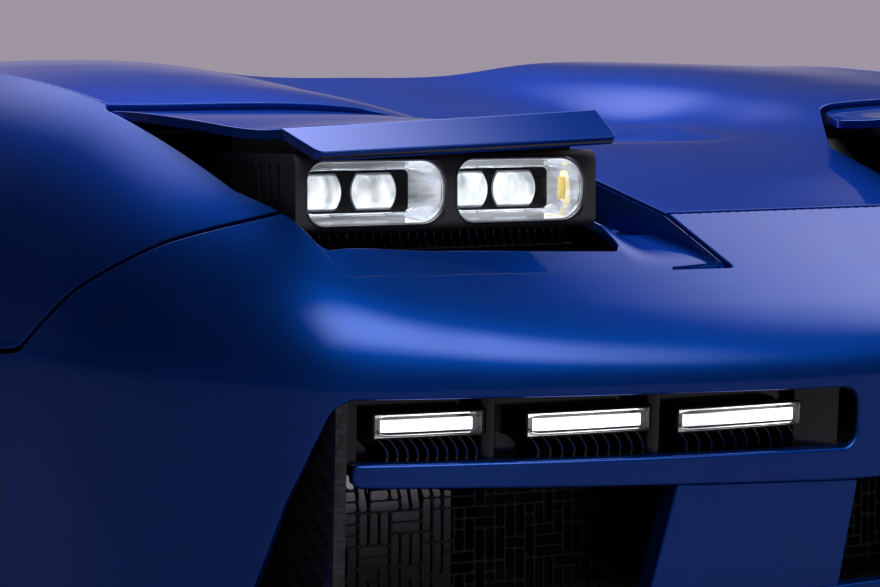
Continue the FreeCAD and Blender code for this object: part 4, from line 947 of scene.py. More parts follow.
def cooler_core():
    """Black core of a cooler: close upright fins crossed by flat tubes."""
    material, tree, shader = shaded("cooler_core", Roughness=0.6, Metallic=0.4)
    place = node(tree, "TexCoord")
    fins = node(tree, "TexWave", Scale=110.0, bands_direction="X")
    tubes = node(tree, "TexWave", Scale=24.0, bands_direction="Z")
    for texture in (fins, tubes):
        wire(tree, (place, "Object", texture, "Vector"))
    both = node(tree, "Math", operation="MULTIPLY")
    wire(tree, (fins, "Fac", both, 0), (tubes, "Fac", both, 1))
    tone = node(tree, "Mix", data_type="RGBA")
    tone.inputs["A"].default_value = (0.008, 0.008, 0.009, 1.0)
    tone.inputs["B"].default_value = (0.05, 0.05, 0.055, 1.0)
    wire(tree, (both, 0, tone, "Factor"), (tone, "Result", shader, "Base Color"))
    bumped(tree, shader, both.outputs[0], 0.6, 0.002)
    return material


COOLER = cooler_core()


SKIRT_GRID, SKIRT_OUT = skirt_surface()
DECK_GRID = deck_places(230, 301)
DECK_OUT = outward(DECK_GRID, lambda p: np.broadcast_to((0.0, 0.0, 1.0), p.shape))
LAMP_GRID, LAMP_OUT = lamp_surface()

# Side view of the nose cover, and the places back along the bonnet's side edge
NOSE_SIDE = [(-80, NOSE_LOW, 0), (-80, 700, 0)] + SEAM_SIDE + [(720, NOSE_LOW, 0)]
BONNET_SIDE = (620, 760, 900, 1050, BONNET_REAR)


def from_wheel(places):
    """How far a place lies outside the wheel arch."""
    return np.hypot(places[:, 1] - WHEEL_BACK, places[:, 2] - WHEEL_HEIGHT) - ARCH_RADIUS


def below_fold(places):
    """How far a place lies in front of the fold along the top of the nose."""
    runs = np.linspace(RUNS[0], RUNS[-1], 900)
    line = LINES["top"](runs)
    result = np.full(len(places), 1e9)
    for k in range(0, len(places), 4000):
        gaps = places[k:k + 4000, None, :] - line[None, :, :]
        result[k:k + 4000] = np.sqrt((gaps ** 2).sum(axis=2).min(axis=1))
    return result


def widest(*fields):
    """Outside all of several outlines at once, so that their edges join in one."""
    return lambda places: np.min([field(places) for field in fields], axis=0)


def build_skin():
    """Nose cover, wings, bonnet and lids as painted panels with rolled edges at their shut lines."""
    intake = INTAKE_FRONT[1:-1]
    intake = intake + [(-a, b, r) for a, b, r in reversed(intake)]

    nose = Sheet(SKIRT_GRID, SKIRT_OUT)
    nose.trim(inside_of(NOSE_SIDE, SIDE))
    for mirror in (False, True):
        nose.trim(outside_of(OPENING_PLAN, PLAN, mirror), 2.5, 14.0)
    mouths = [outside_of(shape, FRONT, mirror)
              for shape in (SLOT_FRONT, DUCT_FRONT) for mirror in (False, True)]
    nose.trim(widest(outside_of(intake, FRONT), *mouths), 4.5, 20.0)
    nose.trim(lambda p: p[:, 2] - NOSE_LOW, 1.5, 6.0)
    nose.trim(from_wheel, 2.5, 12.0)
    nose.trim(below_fold)
    places, normals, faces = nose.panel()
    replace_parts(mesh_piece("nose_cover_skin", places, faces, PAINT, "body", normals), "nose_cover")

    wing = Sheet(SKIRT_GRID, SKIRT_OUT)
    wing.trim(lambda p: p[:, 0] - 300.0, 0.0)
    wing.trim(lambda p: p[:, 2] - WING_LOW, 0.0)
    wing.trim(outside_of(grown(NOSE_SIDE, GAP), SIDE))
    wing.trim(outside_of(OPENING_PLAN, PLAN), 2.0, 6.0)
    wing.trim(from_wheel, 2.5, 12.0)
    wing.trim(lambda p: SKIN_REAR - p[:, 1])
    wing.trim(below_fold, 1.2)
    places, normals, faces = wing.panel()
    both_sides("body", dict(name="wing_skin", mesh=(places, faces), normals=normals, material=PAINT,
                            node="wing"))

    side = [(float(LINES["top"](crossing(b))[0]) - GAP, b, 0) for b in BONNET_SIDE]
    half = [(side[0][0], BONNET_FRONT, 0)] + side
    plan = half + [(-a, b, 0) for a, b, _ in reversed(half)]
    bonnet = Sheet(DECK_GRID, DECK_OUT)
    bonnet.trim(inside_of(plan, PLAN))
    for mirror in (False, True):
        bonnet.trim(outside_of(OPENING_PLAN, PLAN, mirror), 2.0)
    places, normals, faces = bonnet.panel()
    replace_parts(mesh_piece("bonnet_skin", places, faces, PAINT, "bonnet", normals), "bonnet")

    sill = Sheet(*sill_surface(LAMP_GRID, LAMP_OUT))
    sill.trim(inside_of(grown(OPENING_PLAN, 1.5), PLAN), 0.0, 4.0)
    sill.trim(inside_of(SILL_PLAN, PLAN), 0.0, 4.0)
    sill.trim(outside_of(WELL_PLAN, PLAN), 2.5, 10.0)
    places, normals, faces = sill.panel()
    both_sides("body", dict(name="lamp_sill_skin", mesh=(places, faces), normals=normals, material=PAINT,
                            node="lamp_sill"))

    lid = Sheet(*lid_surface())
    lid.trim(inside_of(LID_PLAN, PLAN), 2.0)
    places, normals, faces = lid.panel()
    both_sides("lamp", dict(name="lid_skin", mesh=(raised(places), faces), normals=turned_up(normals),
                            material=PAINT, node="lid"))
def lamp_place(along, deep, height):
    """A place by its distance along the lamp housing's face from its inner end, its depth behind the
    face, and its height."""
    along, deep, height = np.broadcast_arrays(np.asarray(along, float), deep, height)
    c, s = math.cos(POD_TURN), math.sin(POD_TURN)
    return np.stack([POD_IN + along * c - deep * s, POD_FRONT_IN + along * s + deep * c, height], axis=-1)


def unit_outline(unit, less):
    """Corners of a lamp unit, smaller by less all round."""
    a0, a1 = unit["inner"] + less, unit["outer"] - less
    z0, z1 = LENS_LOW + less, LENS_HIGH - less
    radius = LENS_CORNER + 6 - less
    return [(a0, z0, radius + 10), (a1, z0, radius), (a1, z1, radius), (a0, z1, radius + 10)]


def lamp_loop(outline, deep):
    """A loop of places along an outline in the face of the lamp housing."""
    loop = evenly(corner_line(outline, step=3.0), 144)
    return lamp_place(loop[:, 0], deep, loop[:, 1])


def lens_dome(a, z, front, rear, rows=12):
    """A lens clipped flat above and below: its rim as a loop, and its dome up to the middle."""
    angles = np.linspace(0, 2 * math.pi, 72, endpoint=False)
    rim_a = np.cos(angles) * LENS_WIDE / 2
    rim_z = np.clip(np.sin(angles) * LENS_WIDE / 2, -LENS_TALL / 2, LENS_TALL / 2)
    loops = [lamp_place(a + rim_a, rear, z + rim_z)]
    for k in range(rows):
        turn = math.radians(90) * k / rows
        size = math.cos(turn) * 0.985
        deep = front + (rear - 4 - front) * (1 - math.sin(turn))
        loops.append(lamp_place(a + rim_a * size, deep, z + rim_z * size))
    places, faces = lofted(loops)
    return places, faces[:-2] + faces[-1:]


def lens_ring(a, z, deep, tube):
    """A thin ring round a lens."""
    angles = np.linspace(0, 2 * math.pi, 72, endpoint=False)
    loops = []
    for turn in np.linspace(0, 2 * math.pi, 9)[:-1]:
        more = math.cos(turn) * tube
        radius, top = LENS_WIDE / 2 + tube + more, LENS_TALL / 2 + tube + more
        rim_z = np.clip(np.sin(angles) * radius, -top, top)
        loops.append(lamp_place(a + np.cos(angles) * radius, deep + math.sin(turn) * tube, z + rim_z))
    return lofted(loops + [loops[0]], closed=False)


# Sections of a lamp unit's rim and of its clear cover: inset from the unit's outline, and depth
RIM_SECTION = [(-2.2, 0.2), (-1.9, -1.0), (-1.0, -1.6), (0.2, -1.2), (0.9, 0.2), (0.9, 3.0)]
COVER_SECTION = [(24.0, 2.9), (16.0, 3.0), (8.0, 3.6), (3.0, 4.8), (1.8, 6.0), (1.0, 6.0), (1.0, 3.6),
                 (3.0, 2.6), (8.0, 1.6), (16.0, 1.0), (24.0, 0.9)]
TRAY_FRONT = 3.0
# The black mask is a real part; where it reaches over the reflector next to the inner wall, it is a dark
# sheet for painted shade.
MASK_IN_OVER_SHADE = 32.0
MASK_OUT = 3.0


def build_lamp_units():
    """Rims, reflectors, masks, lenses, rings and clear covers in the face of each lamp housing."""
    rims, trays, masks, lenses, rings, covers = ([] for _ in range(6))
    middle = (MASK_LOW + MASK_HIGH) / 2
    for unit in LENS_UNITS:
        rim = [lamp_loop(unit_outline(unit, less), deep) for less, deep in RIM_SECTION]
        rims.append(lofted(rim, closed=False))
        covers.append(lofted([lamp_loop(unit_outline(unit, less), deep) for less, deep in COVER_SECTION]))
        # Next to the inner wall the mask covers reflector that lies in shade: painted shade as a dark
        # sheet.
        inner, outer = unit["inner"] + MASK_IN_OVER_SHADE, unit["outer"] - MASK_OUT
        mask = [(inner, MASK_LOW, 7), (outer, MASK_LOW, 7), (outer, MASK_HIGH, 7), (inner, MASK_HIGH, 7)]
        outlines = (unit_outline(unit, 1.0), mask)
        start, end = (evenly(corner_line(outline, step=2.5), 160) for outline in outlines)
        loops = []
        for share in np.linspace(0, 1, 9):
            blend = start + (end - start) * share
            deep = TRAY_FRONT + (MASK_DEEP - TRAY_FRONT) * math.sin(share * math.pi / 2) ** 0.9
            loops.append(lamp_place(blend[:, 0], deep, blend[:, 1]))
        trays.append(lofted(loops, closed=False))
        depths = (MASK_DEEP, MASK_DEEP + 3)
        masks.append(lofted([lamp_place(end[:, 0], deep, end[:, 1]) for deep in depths]))
        for a in unit["lenses"]:
            lenses.append(lens_dome(a, middle, 12.0, MASK_DEEP))
            rings.append(lens_ring(a, middle, MASK_DEEP - 2.0, 1.1))
    both_sides(
        "lamp",
        dict(name="lamp_rims", mesh=joined(rims), material=RIM_GREY, slot="satin_grey", smooth_by=60),
        # The trays' chrome glows with painted light that stands for the lamps' light reflected in it.
        dict(name="lamp_trays", mesh=joined(trays), material=CHROME_PAINTED_GLOW, slot="reflector", smooth_by=50,
             node="lamp_reflector"),
        # The amber patch glows with painted light standing for reflected lamp light.
        dict(name="amber_patch", mesh=amber_patch(), material=AMBER_PAINTED_GLOW, slot="reflector", smooth_by=40),
        dict(name="lamp_masks", mesh=joined(masks), material=MASK_BLACK, slot="gloss_black", smooth_by=30),
        dict(name="lamp_lenses", mesh=joined(lenses), material=LENS_LIT, slot="glass", smooth_by=50,
             node="lamp_lens"),
        dict(name="lens_rings", mesh=joined(rings), material=RIM_GREY, slot="reflector", smooth_by=60),
        dict(name="lamp_covers", mesh=joined(covers), material=GLASS, slot="glass", smooth_by=60,
             node="lamp_cover"))


AMBER_AT = 40.0
AMBER_WIDE = 7.0
AMBER_MIDDLE = 657.0
AMBER_HALF = 13.0
AMBER_BULGE = 1.5


def amber_patch():
    """Small amber reflector on the inner wall of each lamp's inner unit. Its glow is painted light that
    stands for the lamp's light reflected in it.
    """
    loops = []
    for z in np.linspace(AMBER_MIDDLE - AMBER_HALF, AMBER_MIDDLE + AMBER_HALF, 7):
        bulge = AMBER_BULGE * math.cos((z - AMBER_MIDDLE) / AMBER_HALF * math.pi / 2)
        along = [AMBER_AT - AMBER_WIDE / 2, AMBER_AT, AMBER_AT + AMBER_WIDE / 2, AMBER_AT]
        loops.append(lamp_place(along, [12.0 - bulge, 13.5 - bulge, 17.0, 17.5], z))
    return lofted(loops)


def height_at(grid, spots):
    """Height of a gridded face above places in plan."""
    places = grid.reshape(-1, 3)
    heights = []
    for spot in spots:
        away = np.hypot(places[:, 0] - spot[0], places[:, 1] - spot[1])
        near = np.argpartition(away, 4)[:4]
        weight = 1.0 / (away[near] + 0.01)
        heights.append(np.sum(places[near, 2] * weight) / np.sum(weight))
    return np.array(heights)


def build_scoop_walls():
    """Painted wall beside each lamp, from just under the bonnet's edge down to the floor of the scoop."""
    line = corner_line(grown(OPENING_PLAN, -SCOOP_WALL_SET), step=4.0)
    line = evenly(line, 700)
    line = line[(line[:, 0] < 300) & (line[:, 1] < SCOOP_WALL_REAR)]
    line = line[np.argsort(line[:, 1])]
    along = unit(np.gradient(line, axis=0))
    rear = line - np.stack([along[:, 1], -along[:, 0]], axis=1) * SCOOP_WALL_THICK
    edge = line * 0.7 + rear * 0.3
    top = height_at(LAMP_GRID, line) - 2.5
    low = height_at(sill_surface(LAMP_GRID, LAMP_OUT)[0], line) - 1.0
    loops = []
    for front_spot, edge_spot, rear_spot, high, deep in zip(line, edge, rear, top, low):
        loops.append([(*front_spot, deep), (*front_spot, high - 1.0), (*edge_spot, high),
                      (*rear_spot, high), (*rear_spot, deep)])
    both_sides("body", dict(name="scoop_wall", mesh=lofted(loops), material=PAINT, slot="paint",
                            smooth_by=40))


VANE_LOW = POD_BOTTOM - 22.0
VANE_TOP = POD_BOTTOM
VANE_START = 26.0
VANE_END = POD_LONG - 18.0
VANE_COUNT = 30


def build_vanes():
    """The row of slanting curved vanes under each lamp housing, between two rails."""
    parts = []
    for k in range(VANE_COUNT):
        a = VANE_START + 6 + (VANE_END - VANE_START - 26) * k / (VANE_COUNT - 1)
        loops = []
        for s in np.linspace(0, 1, 9):
            z = VANE_LOW + 2 + (VANE_TOP - VANE_LOW - 3) * s
            lean = 9.0 * s + 3.0 * math.sin(s * math.pi)
            front = 14.0 + 5.0 * (1 - s) ** 2
            loops.append(lamp_place([a + lean, a + lean + 1.8, a + lean + 17.0, a + lean + 14.0],
                                    [front, front - 0.6, 50.0, 50.0], z))
        parts.append(lofted(loops))
    for z0, z1, d0 in ((VANE_LOW, VANE_LOW + 2.4, 12.0), (VANE_TOP - 2.0, VANE_TOP - 0.3, 13.0)):
        loops = []
        for a in (VANE_START, VANE_END):
            loops.append(lamp_place(a, [d0 + 1, d0, d0, d0 + 1, 54.0, 54.0],
                                    [z0, z0 + 0.6, z1 - 0.6, z1, z1, z0]))
        parts.append(lofted(loops))
    back = [lamp_place(a, [52.0, 52.0, 55.0, 55.0], [VANE_LOW, VANE_TOP - 0.3, VANE_TOP - 0.3, VANE_LOW])
            for a in (VANE_START, VANE_END)]
    parts.append(lofted(back))
    both_sides("lamp", dict(name="vane_row", mesh=joined(parts), material=VANE_BLACK, slot="gloss_black",
                            smooth_by=40, node="lamp_vanes"))
LEVEL_STEP = 2.0
LEVEL_HEIGHTS = np.arange(150.0, 480.0, LEVEL_STEP)


def nose_levels():
    """The painted face of the nose cut at even heights: out and back along it, and the way straight in."""
    start = len(SKIRT_GRID) // 2 - 4
    half = SKIRT_GRID[start:]
    level = unit(-SKIRT_OUT[start:, -1] * (1, 1, 0))
    outs = np.array([np.interp(-LEVEL_HEIGHTS, -row[:, 2], row[:, 0]) for row in half]).T
    backs = np.array([np.interp(-LEVEL_HEIGHTS, -row[:, 2], row[:, 1]) for row in half]).T
    return outs, backs, level


LEVEL_OUTS, LEVEL_BACKS, LEVEL_IN = nose_levels()


def nose_place(out, deep, height):
    """A place at a depth straight in behind the face of the nose, at its distance out and height."""
    out, deep, height = (np.asarray(v, float) for v in np.broadcast_arrays(out, deep, height))
    shape = out.shape
    backs = []
    for x, d, z in zip(out.ravel(), deep.ravel(), height.ravel()):
        level = min(max((z - LEVEL_HEIGHTS[0]) / LEVEL_STEP, 0.0), len(LEVEL_HEIGHTS) - 1.001)
        k, share = int(level), level - int(level)
        xs = LEVEL_OUTS[k] * (1 - share) + LEVEL_OUTS[k + 1] * share + LEVEL_IN[:, 0] * d
        ys = LEVEL_BACKS[k] * (1 - share) + LEVEL_BACKS[k + 1] * share + LEVEL_IN[:, 1] * d
        backs.append(np.interp(x, xs, ys))
    return np.stack([out, np.array(backs).reshape(shape), height], axis=-1)


def nose_loop(outline, deep, count=120):
    """A loop of places along an outline on the front of the nose, at a depth."""
    loop = evenly(corner_line(outline, step=4.0), count)
    return nose_place(loop[:, 0], deep, loop[:, 1])


def long_line(low, high, step=14.0):
    """Even places from low to high, about a step apart."""
    return np.linspace(low, high, max(2, int((high - low) / step) + 1))


def bar_between(x0, x1, section, step=14.0):
    """A bar along the nose from x0 to x1; section is a loop of (deep, height)."""
    section = np.asarray(section, float)
    return lofted([nose_place(x, section[:, 0], section[:, 1]) for x in long_line(x0, x1, step)])


def plate(x0, x1, z0, z1, front, rear):
    """A plate that follows the nose, between two depths."""
    outs, heights = long_line(x0, x1), long_line(z0, z1, 20.0)
    grids = [nose_place(outs[:, None], deep, heights[None, :]) for deep in (front, rear)]
    n, m = len(outs), len(heights)
    places = np.concatenate([grid.reshape(-1, 3) for grid in grids])
    faces = []
    for k, flip in ((0, False), (n * m, True)):
        for i in range(n - 1):
            for j in range(m - 1):
                quad = [k + i * m + j, k + (i + 1) * m + j, k + (i + 1) * m + j + 1, k + i * m + j + 1]
                faces.append(quad[::-1] if flip else quad)
    edge = ([i * m for i in range(n)] + [(n - 1) * m + j for j in range(1, m)]
            + [i * m + m - 1 for i in range(n - 2, -1, -1)] + [j for j in range(m - 2, 0, -1)])
    for a, b in zip(edge, edge[1:] + edge[:1]):
        faces.append([a, b, b + n * m, a + n * m])
    return places, faces


COLUMN_OUTS = (617.0, 408.0)
COLUMN_HALF = 10.0
COLUMN_TOP = 437.0
FIN_COUNT = 10

# Sections of a daylight lamp as (depth, up from its middle), and half the height of its frame
CASE_SECTION = [(15.0, -9.5), (14.0, -7.0), (14.0, 7.5), (15.5, 11.0), (19.0, 12.0), (44.0, 12.0),
                (44.0, -12.0), (19.0, -12.0)]
STRIP_SECTION = [(21.0, -6.5), (20.0, -5.5), (20.0, 5.0), (21.0, 6.0), (26.0, 6.0), (26.0, -6.5)]
FRAME_LOW = -14.2
FRAME_HIGH = 14.0
FRAME_IN = 12.4


def slot_floor(out):
    """Height of the floor of the lamp slot."""
    return 352.0 + (out - SLOT_IN) * 16.0 / (SLOT_OUT - SLOT_IN)


def block(low, high, front, rear):
    """Section of a plain bar, between two heights and two depths."""
    return [(front, low), (front, high), (rear, high), (rear, low)]


def lamp_case(x0, x1, z):
    """Clear case of a daylight lamp: a long body whose ends are drawn in."""
    section = np.array(CASE_SECTION)
    deep, up = section[:, 0], section[:, 1]
    low_end = [(x0 - 4, 0.72), (x0 + 1, 0.9), (x0 + 7, 1.0)]
    high_end = [(x1 - 7, 1.0), (x1 - 1, 0.9), (x1 + 4, 0.72)]
    stations = low_end + [(x, 1.0) for x in long_line(x0 + 20, x1 - 20)] + high_end
    return lofted([nose_place(x, deep + 18 * (1 - size), z + up * size) for x, size in stations])


def lamp_frame(x0, x1, z):
    """Bars above, below, beside and behind a daylight lamp."""
    bars = [bar_between(x0 - 8, x1 + 8, block(low, high, 16.0, 50.0))
            for low, high in ((z + FRAME_LOW, z - FRAME_IN), (z + FRAME_IN, z + FRAME_HIGH))]
    post = block(z + FRAME_LOW, z + FRAME_HIGH, 17.0, 50.0)
    bars += [bar_between(x, x + 2.5, post) for x in (x0 - 8, x1 + 5.5)]
    bars.append(bar_between(x0 - 6, x1 + 6, block(z - FRAME_IN, z + FRAME_IN, 44.5, SLOT_BACK)))
    return bars


def slot_fin(x, z):
    """A thin leaning fin under a daylight lamp."""
    low, high = slot_floor(x) - 1.0, z - 14.6
    loops = []
    for share in np.linspace(0, 1, 8):
        lean = 15.0 * share - 5.0 * math.sin(share * math.pi)
        front = 20.0 + 8.0 * (1 - share)
        loops.append(nose_place([x + lean - 12, x + lean - 9.6, x + lean - 8, x + lean - 12],
                                [front, front, SLOT_BACK, SLOT_BACK], low + (high - low) * share))
    return lofted(loops)


def slot_column(x):
    """A rounded column between two daylight lamps."""
    turn = np.linspace(0, math.pi, 13)
    outs = np.append(x - COLUMN_HALF * np.cos(turn), [x + COLUMN_HALF, x - COLUMN_HALF])
    deep = np.append(34 - 14 * np.sin(turn), [SLOT_BACK, SLOT_BACK])
    return lofted([nose_place(outs, deep, z) for z in np.linspace(slot_floor(x) - 1, COLUMN_TOP, 9)])


def slot_end(x0, x1):
    """A block that fills one end of the slot; the inner one slopes back."""
    loops = []
    for x in np.linspace(x0, x1, 8):
        front = 16.0 + 26.0 * (x - x0) / (x1 - x0) if x0 < 400 else 18.0
        low = slot_floor(x) - 1
        loops.append(nose_place(x, [front, front, SLOT_BACK, SLOT_BACK], [low, 430.0, 430.0, low]))
    return lofted(loops)


def build_slots():
    """Slot carriers with fins and columns, and the daylight lamps: cases, lit strips and frames."""
    wall = grown(SLOT_FRONT, 2.6)
    loops = [(SLOT_FRONT, 5.0), (SLOT_FRONT, SLOT_BACK), (wall, SLOT_BACK), (wall, 5.0), (SLOT_FRONT, 5.0)]
    carrier = [lofted([nose_loop(outline, deep) for outline, deep in loops], closed=False),
               plate(SLOT_IN - 2, SLOT_OUT + 2, 351.0, 440.0, SLOT_BACK, SLOT_BACK + SLOT_WALL)]
    fins, cases, strips, frames = [], [], [], []
    for lamp in DAYLIGHT_LAMPS:
        x0, x1, z = lamp["inner"], lamp["outer"], lamp["height"]
        cases.append(lamp_case(x0, x1, z))
        strips.append(bar_between(x0 + 5, x1 - 6, [(deep, z + up) for deep, up in STRIP_SECTION]))
        frames += lamp_frame(x0, x1, z)
        fins += [slot_fin(x0 + 4 + k * (x1 - x0 - 8) / (FIN_COUNT - 1), z) for k in range(FIN_COUNT)]
    columns = [slot_column(x) for x in COLUMN_OUTS]
    columns += [slot_end(SLOT_OUT - 16, SLOT_OUT - 2), slot_end(SLOT_IN + 18, SLOT_IN + 62)]
    black = dict(material=GLOSS_BLACK, slot="gloss_black", smooth_by=40)
    both_sides(
        "body",
        dict(name="slot_shell", mesh=joined(carrier), node="slot_carrier", **black),
        dict(name="slot_fins", mesh=joined(fins), **black),
        dict(name="slot_columns", mesh=joined(columns), **black),
        dict(name="daylight_frames", mesh=joined(frames), material=MASK_BLACK, slot="gloss_black",
             smooth_by=30),
        dict(name="daylight_strips", mesh=joined(strips), material=BAR_LIT, slot="glass", smooth_by=30),
        dict(name="daylight_cases", mesh=joined(cases), material=GLASS, slot="glass", smooth_by=25,
             node="daylight_lamps"))


MAZE_MODULE = 12.6
MAZE_ROWS = 13
MAZE_UPRIGHT = 11
MAZE_RIB = 0.9
MAZE_RADIUS = 3.4
MAZE_THICK = 4.0
MAZE_BEND = 0.9
MAZE_SEED = 7


def maze_bricks(columns, rows, seed):
    """Fills a field of modules with bricks of up to 3 by 1, laid either way at random."""
    draw = np.random.default_rng(seed)
    taken = np.zeros((columns, rows), bool)
    bricks = []
    for j in range(rows):
        for i in range(columns):
            if taken[i, j]:
                continue
            upright = draw.random() < 0.45
            long = 3 if draw.random() < 0.8 else 2
            size = 1
            while size < long:
                a, b = (i, j + size) if upright else (i + size, j)
                if a >= columns or b >= rows or taken[a, b]:
                    break
                size += 1
            w, h = (1, size) if upright else (size, 1)
            taken[i:i + w, j:j + h] = True
            bricks.append((i, j, w, h))
    return bricks


def mesh_line():
    """Plan of the intake mesh: back as a function of out, behind the lower edge of the nose."""
    outs, backs = SKIRT_GRID[:, -1, 0], SKIRT_GRID[:, -1, 1]
    some = (outs > -5) & (outs < 840)
    order = np.argsort(outs[some])
    return outs[some][order], backs[some][order] + MESH_BACK


def build_mesh():
    """The intake mesh: a maze of rounded openings, its two top rows bent back."""
    line_out, line_back = mesh_line()
    columns = int(SLOT_OUT / MAZE_MODULE)
    turn = np.radians([0.0, 30.0, 60.0, 90.0])
    places, faces = [], []

    def spot(x, z, deep):
        bend = max(0.0, z - (INTAKE_LOW + MAZE_UPRIGHT * MAZE_MODULE)) * MAZE_BEND
        return (x, np.interp(x, line_out, line_back) + deep + bend, z)

    for i, j, w, h in maze_bricks(columns, MAZE_ROWS, MAZE_SEED):
        x0, x1 = i * MAZE_MODULE, (i + w) * MAZE_MODULE
        z0, z1 = INTAKE_LOW + j * MAZE_MODULE, INTAKE_LOW + (j + h) * MAZE_MODULE
        hole, border = [], []
        for quarter, (cx, cz) in enumerate(((x1, z1), (x0, z1), (x0, z0), (x1, z0))):
            mx = cx - math.copysign(MAZE_RIB + MAZE_RADIUS, cx - (x0 + x1) / 2)
            mz = cz - math.copysign(MAZE_RIB + MAZE_RADIUS, cz - (z0 + z1) / 2)
            for t in turn + quarter * math.pi / 2:
                c, s = math.cos(t), math.sin(t)
                x, z = mx + MAZE_RADIUS * c, mz + MAZE_RADIUS * s
                hole.append((x, z))
                border.append((cx if abs(c) > 0.49 else x, cz if abs(s) > 0.49 else z))
        start, count = len(places), len(hole)
        for loop, deep in ((border, 0.0), (hole, 0.0), (hole, MAZE_THICK), (border, MAZE_THICK)):
            places += [spot(x, z, deep) for x, z in loop]
        for k in range(count):
            n = (k + 1) % count
            for level in range(3):
                a, b = start + level * count, start + (level + 1) * count
                faces.append([a + k, a + n, b + n, b + k])
    for suffix, mirror in (("l", False), ("r", True)):
        piece = mesh_piece("maze_mesh_" + suffix, places, faces, MESH_BLACK, "body", None, mirror, 30)
        if not mirror:
            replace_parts(piece, "intake_mesh")


STRAKE_INNER = 60
STRAKE_SET = 3.0
STRAKE_DEEP = 26.0


def build_strakes():
    """Painted strakes that stand in the lower intake."""
    strake = Sheet(SKIRT_GRID - SKIRT_OUT * STRAKE_SET, SKIRT_OUT)
    strake.trim(lambda p: p[:, 0] - STRAKE_INNER, 0.0)
    strake.trim(inside_of(STRAKE_FRONT, FRONT), 3.0, STRAKE_DEEP)
    mouth = INTAKE_FRONT[1:-1] + [(STRAKE_INNER, INTAKE_LOW, 0), (STRAKE_INNER, INTAKE_TOP, 0)]
    strake.trim(inside_of(mouth, FRONT), 1.0, STRAKE_DEEP)
    places, normals, faces = strake.panel()
    both_sides("body", dict(name="strake_skin", mesh=(places, faces), normals=normals, material=PAINT,
                            node="strake"))
# The reflector finish is the chrome with painted glow, standing for the lamps' light reflected in it.
NODE_FINISH = {
    "paint": PAINT, "satin_grey": SATIN_GREY, "black_plastic": BLACK_PLASTIC, "gloss_black": GLOSS_BLACK,
    "carbon": CARBON, "glass": GLASS, "reflector": CHROME_PAINTED_GLOW, "steel": STEEL, "black_metal": COATED_BLACK,
    "aluminium": ALUMINIUM,
}


def finish_nodes():
    """Gives every node of the frame that stays its own finish."""
    for row in frame["record"]["subparts"]:
        piece = frame["nodes"][row["node"]]
        material = COOLER if row["node"].startswith("radiator") else NODE_FINISH[row["material_slot"]]
        piece.data.materials.clear()
        piece.data.materials.append(material)


CAMERA_TURN = math.radians(39.0)
CAMERA_PITCH = math.radians(3.79)
CAMERA_AT = (-2951.0, -2633.0, 790.0)
FLOOR_HALF = 30.0
FLOOR_DROP = 0.09
FLOOR_COLOUR = (0.30, 0.275, 0.31, 1.0)

# The world is pale towards the far right and near the horizon, and dark elsewhere
PALE_TOWARDS = (0.629, 0.777, 0.0)
PALE_COLOUR = (0.345, 0.300, 0.365, 1.0)
DARK_COLOUR = (0.020, 0.021, 0.030, 1.0)
SOFT_EDGE = 0.42
SOFTBOXES = [
    dict(name="softbox_top", at=(0.8, 1.8, 3.6), target=(0.0, -0.6, 0.2), size=(5.0, 4.0), power=250.0,
         colour=(0.95, 0.96, 1.0)),
    dict(name="softbox_front", at=(0.0, -5.2, 4.7), target=(0.0, -1.0, 0.1), size=(9.0, 4.5), power=480.0,
         colour=(0.98, 0.98, 1.0)),
    dict(name="softbox_right", at=(3.6, -0.4, 2.9), target=(0.0, -0.9, 0.2), size=(4.5, 3.5), power=110.0,
         colour=(0.97, 0.98, 1.0)),
]


def build_stage():
    """Pale floor."""
    mesh = bpy.data.meshes.new("floor")
    z = float(np.array(cad_box).reshape(2, 3)[0][2]) - FLOOR_DROP
    corners = [(x * FLOOR_HALF, y * FLOOR_HALF, z) for x, y in ((-1, -1), (1, -1), (1, 1), (-1, 1))]
    mesh.from_pydata(corners, [], [(0, 1, 2, 3)])
    floor = bpy.data.objects.new("floor", mesh)
    mesh.materials.append(shaded("floor", Base_Color=FLOOR_COLOUR, Roughness=0.7)[0])
    bpy.context.scene.collection.objects.link(floor)


def build_camera():
    camera = bpy.data.cameras.new("camera")
    camera.sensor_width = 36.0
    camera.lens = 135.0
    camera.clip_start = 0.05
    camera.clip_end = 200.0
    eye = bpy.data.objects.new("camera", camera)
    eye.location = to_part(CAMERA_AT)
    level = math.cos(CAMERA_PITCH)
    ahead = Vector((math.sin(CAMERA_TURN) * level, math.cos(CAMERA_TURN) * level, -math.sin(CAMERA_PITCH)))
    eye.rotation_euler = ahead.to_track_quat("-Z", "Y").to_euler()
    bpy.context.scene.collection.objects.link(eye)
    bpy.context.scene.camera = eye


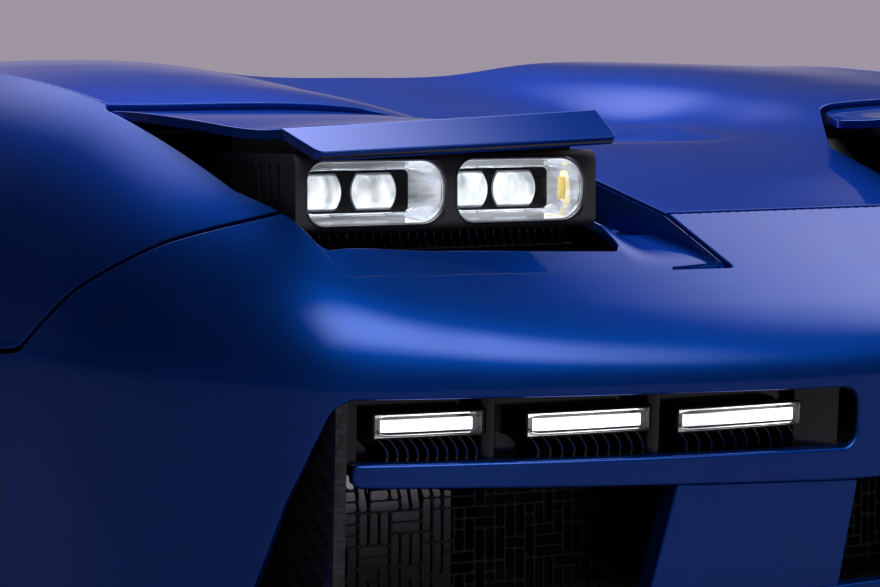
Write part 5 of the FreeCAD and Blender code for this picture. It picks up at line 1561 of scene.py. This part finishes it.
def area_light(name, at, target, size, power, colour):
    """A softbox whose light fades towards its edges."""
    lamp = bpy.data.lights.new(name, "AREA")
    lamp.shape = "RECTANGLE"
    lamp.size, lamp.size_y = size
    lamp.energy = power
    lamp.color = colour
    lamp.use_nodes = True
    tree = lamp.node_tree
    place = node(tree, "NewGeometry")
    split = node(tree, "SeparateXYZ")
    strength = node(tree, "Math", operation="MULTIPLY")
    wire(tree, (place, "Parametric", split, 0), (strength, 0, tree.nodes["Emission"], "Strength"))
    for k in range(2):
        fold = node(tree, "Math", operation="PINGPONG")
        fold.inputs[1].default_value = 0.5
        edge = node(tree, "MapRange", interpolation_type="SMOOTHSTEP", From_Max=SOFT_EDGE)
        wire(tree, (split, k, fold, 0), (fold, 0, edge, "Value"), (edge, "Result", strength, k))
    piece = bpy.data.objects.new(name, lamp)
    piece.location = at
    piece.rotation_euler = (Vector(target) - Vector(at)).to_track_quat("-Z", "Y").to_euler()
    bpy.context.scene.collection.objects.link(piece)


def build_light():
    """The world and the softboxes."""
    world = bpy.data.worlds.new("studio")
    world.use_nodes = True
    tree = world.node_tree
    place = node(tree, "TexCoord")
    towards = node(tree, "VectorMath", operation="DOT_PRODUCT")
    towards.inputs[1].default_value = PALE_TOWARDS
    height = node(tree, "SeparateXYZ")
    share = node(tree, "MapRange", interpolation_type="SMOOTHSTEP", From_Min=0.0, From_Max=0.85)
    band = node(tree, "MapRange", interpolation_type="SMOOTHSTEP", From_Min=0.04, From_Max=0.26, To_Min=1.0,
                To_Max=0.25)
    both = node(tree, "Math", operation="MULTIPLY")
    tone = node(tree, "Mix", data_type="RGBA")
    tone.inputs["A"].default_value = DARK_COLOUR
    tone.inputs["B"].default_value = PALE_COLOUR
    wire(tree, (place, "Generated", towards, 0), (place, "Generated", height, 0),
         (towards, "Value", share, "Value"), (height, "Z", band, "Value"),
         (share, "Result", both, 0), (band, "Result", both, 1),
         (both, 0, tone, "Factor"), (tone, "Result", tree.nodes["Background"], "Color"))
    bpy.context.scene.world = world
    for softbox in SOFTBOXES:
        area_light(**softbox)


finish_nodes()
build_skin()
build_lamp_units()
build_scoop_walls()
build_vanes()
build_slots()
build_mesh()
build_strakes()
build_stage()
build_camera()
build_light()
bpy.context.scene.view_settings.view_transform = "Standard"
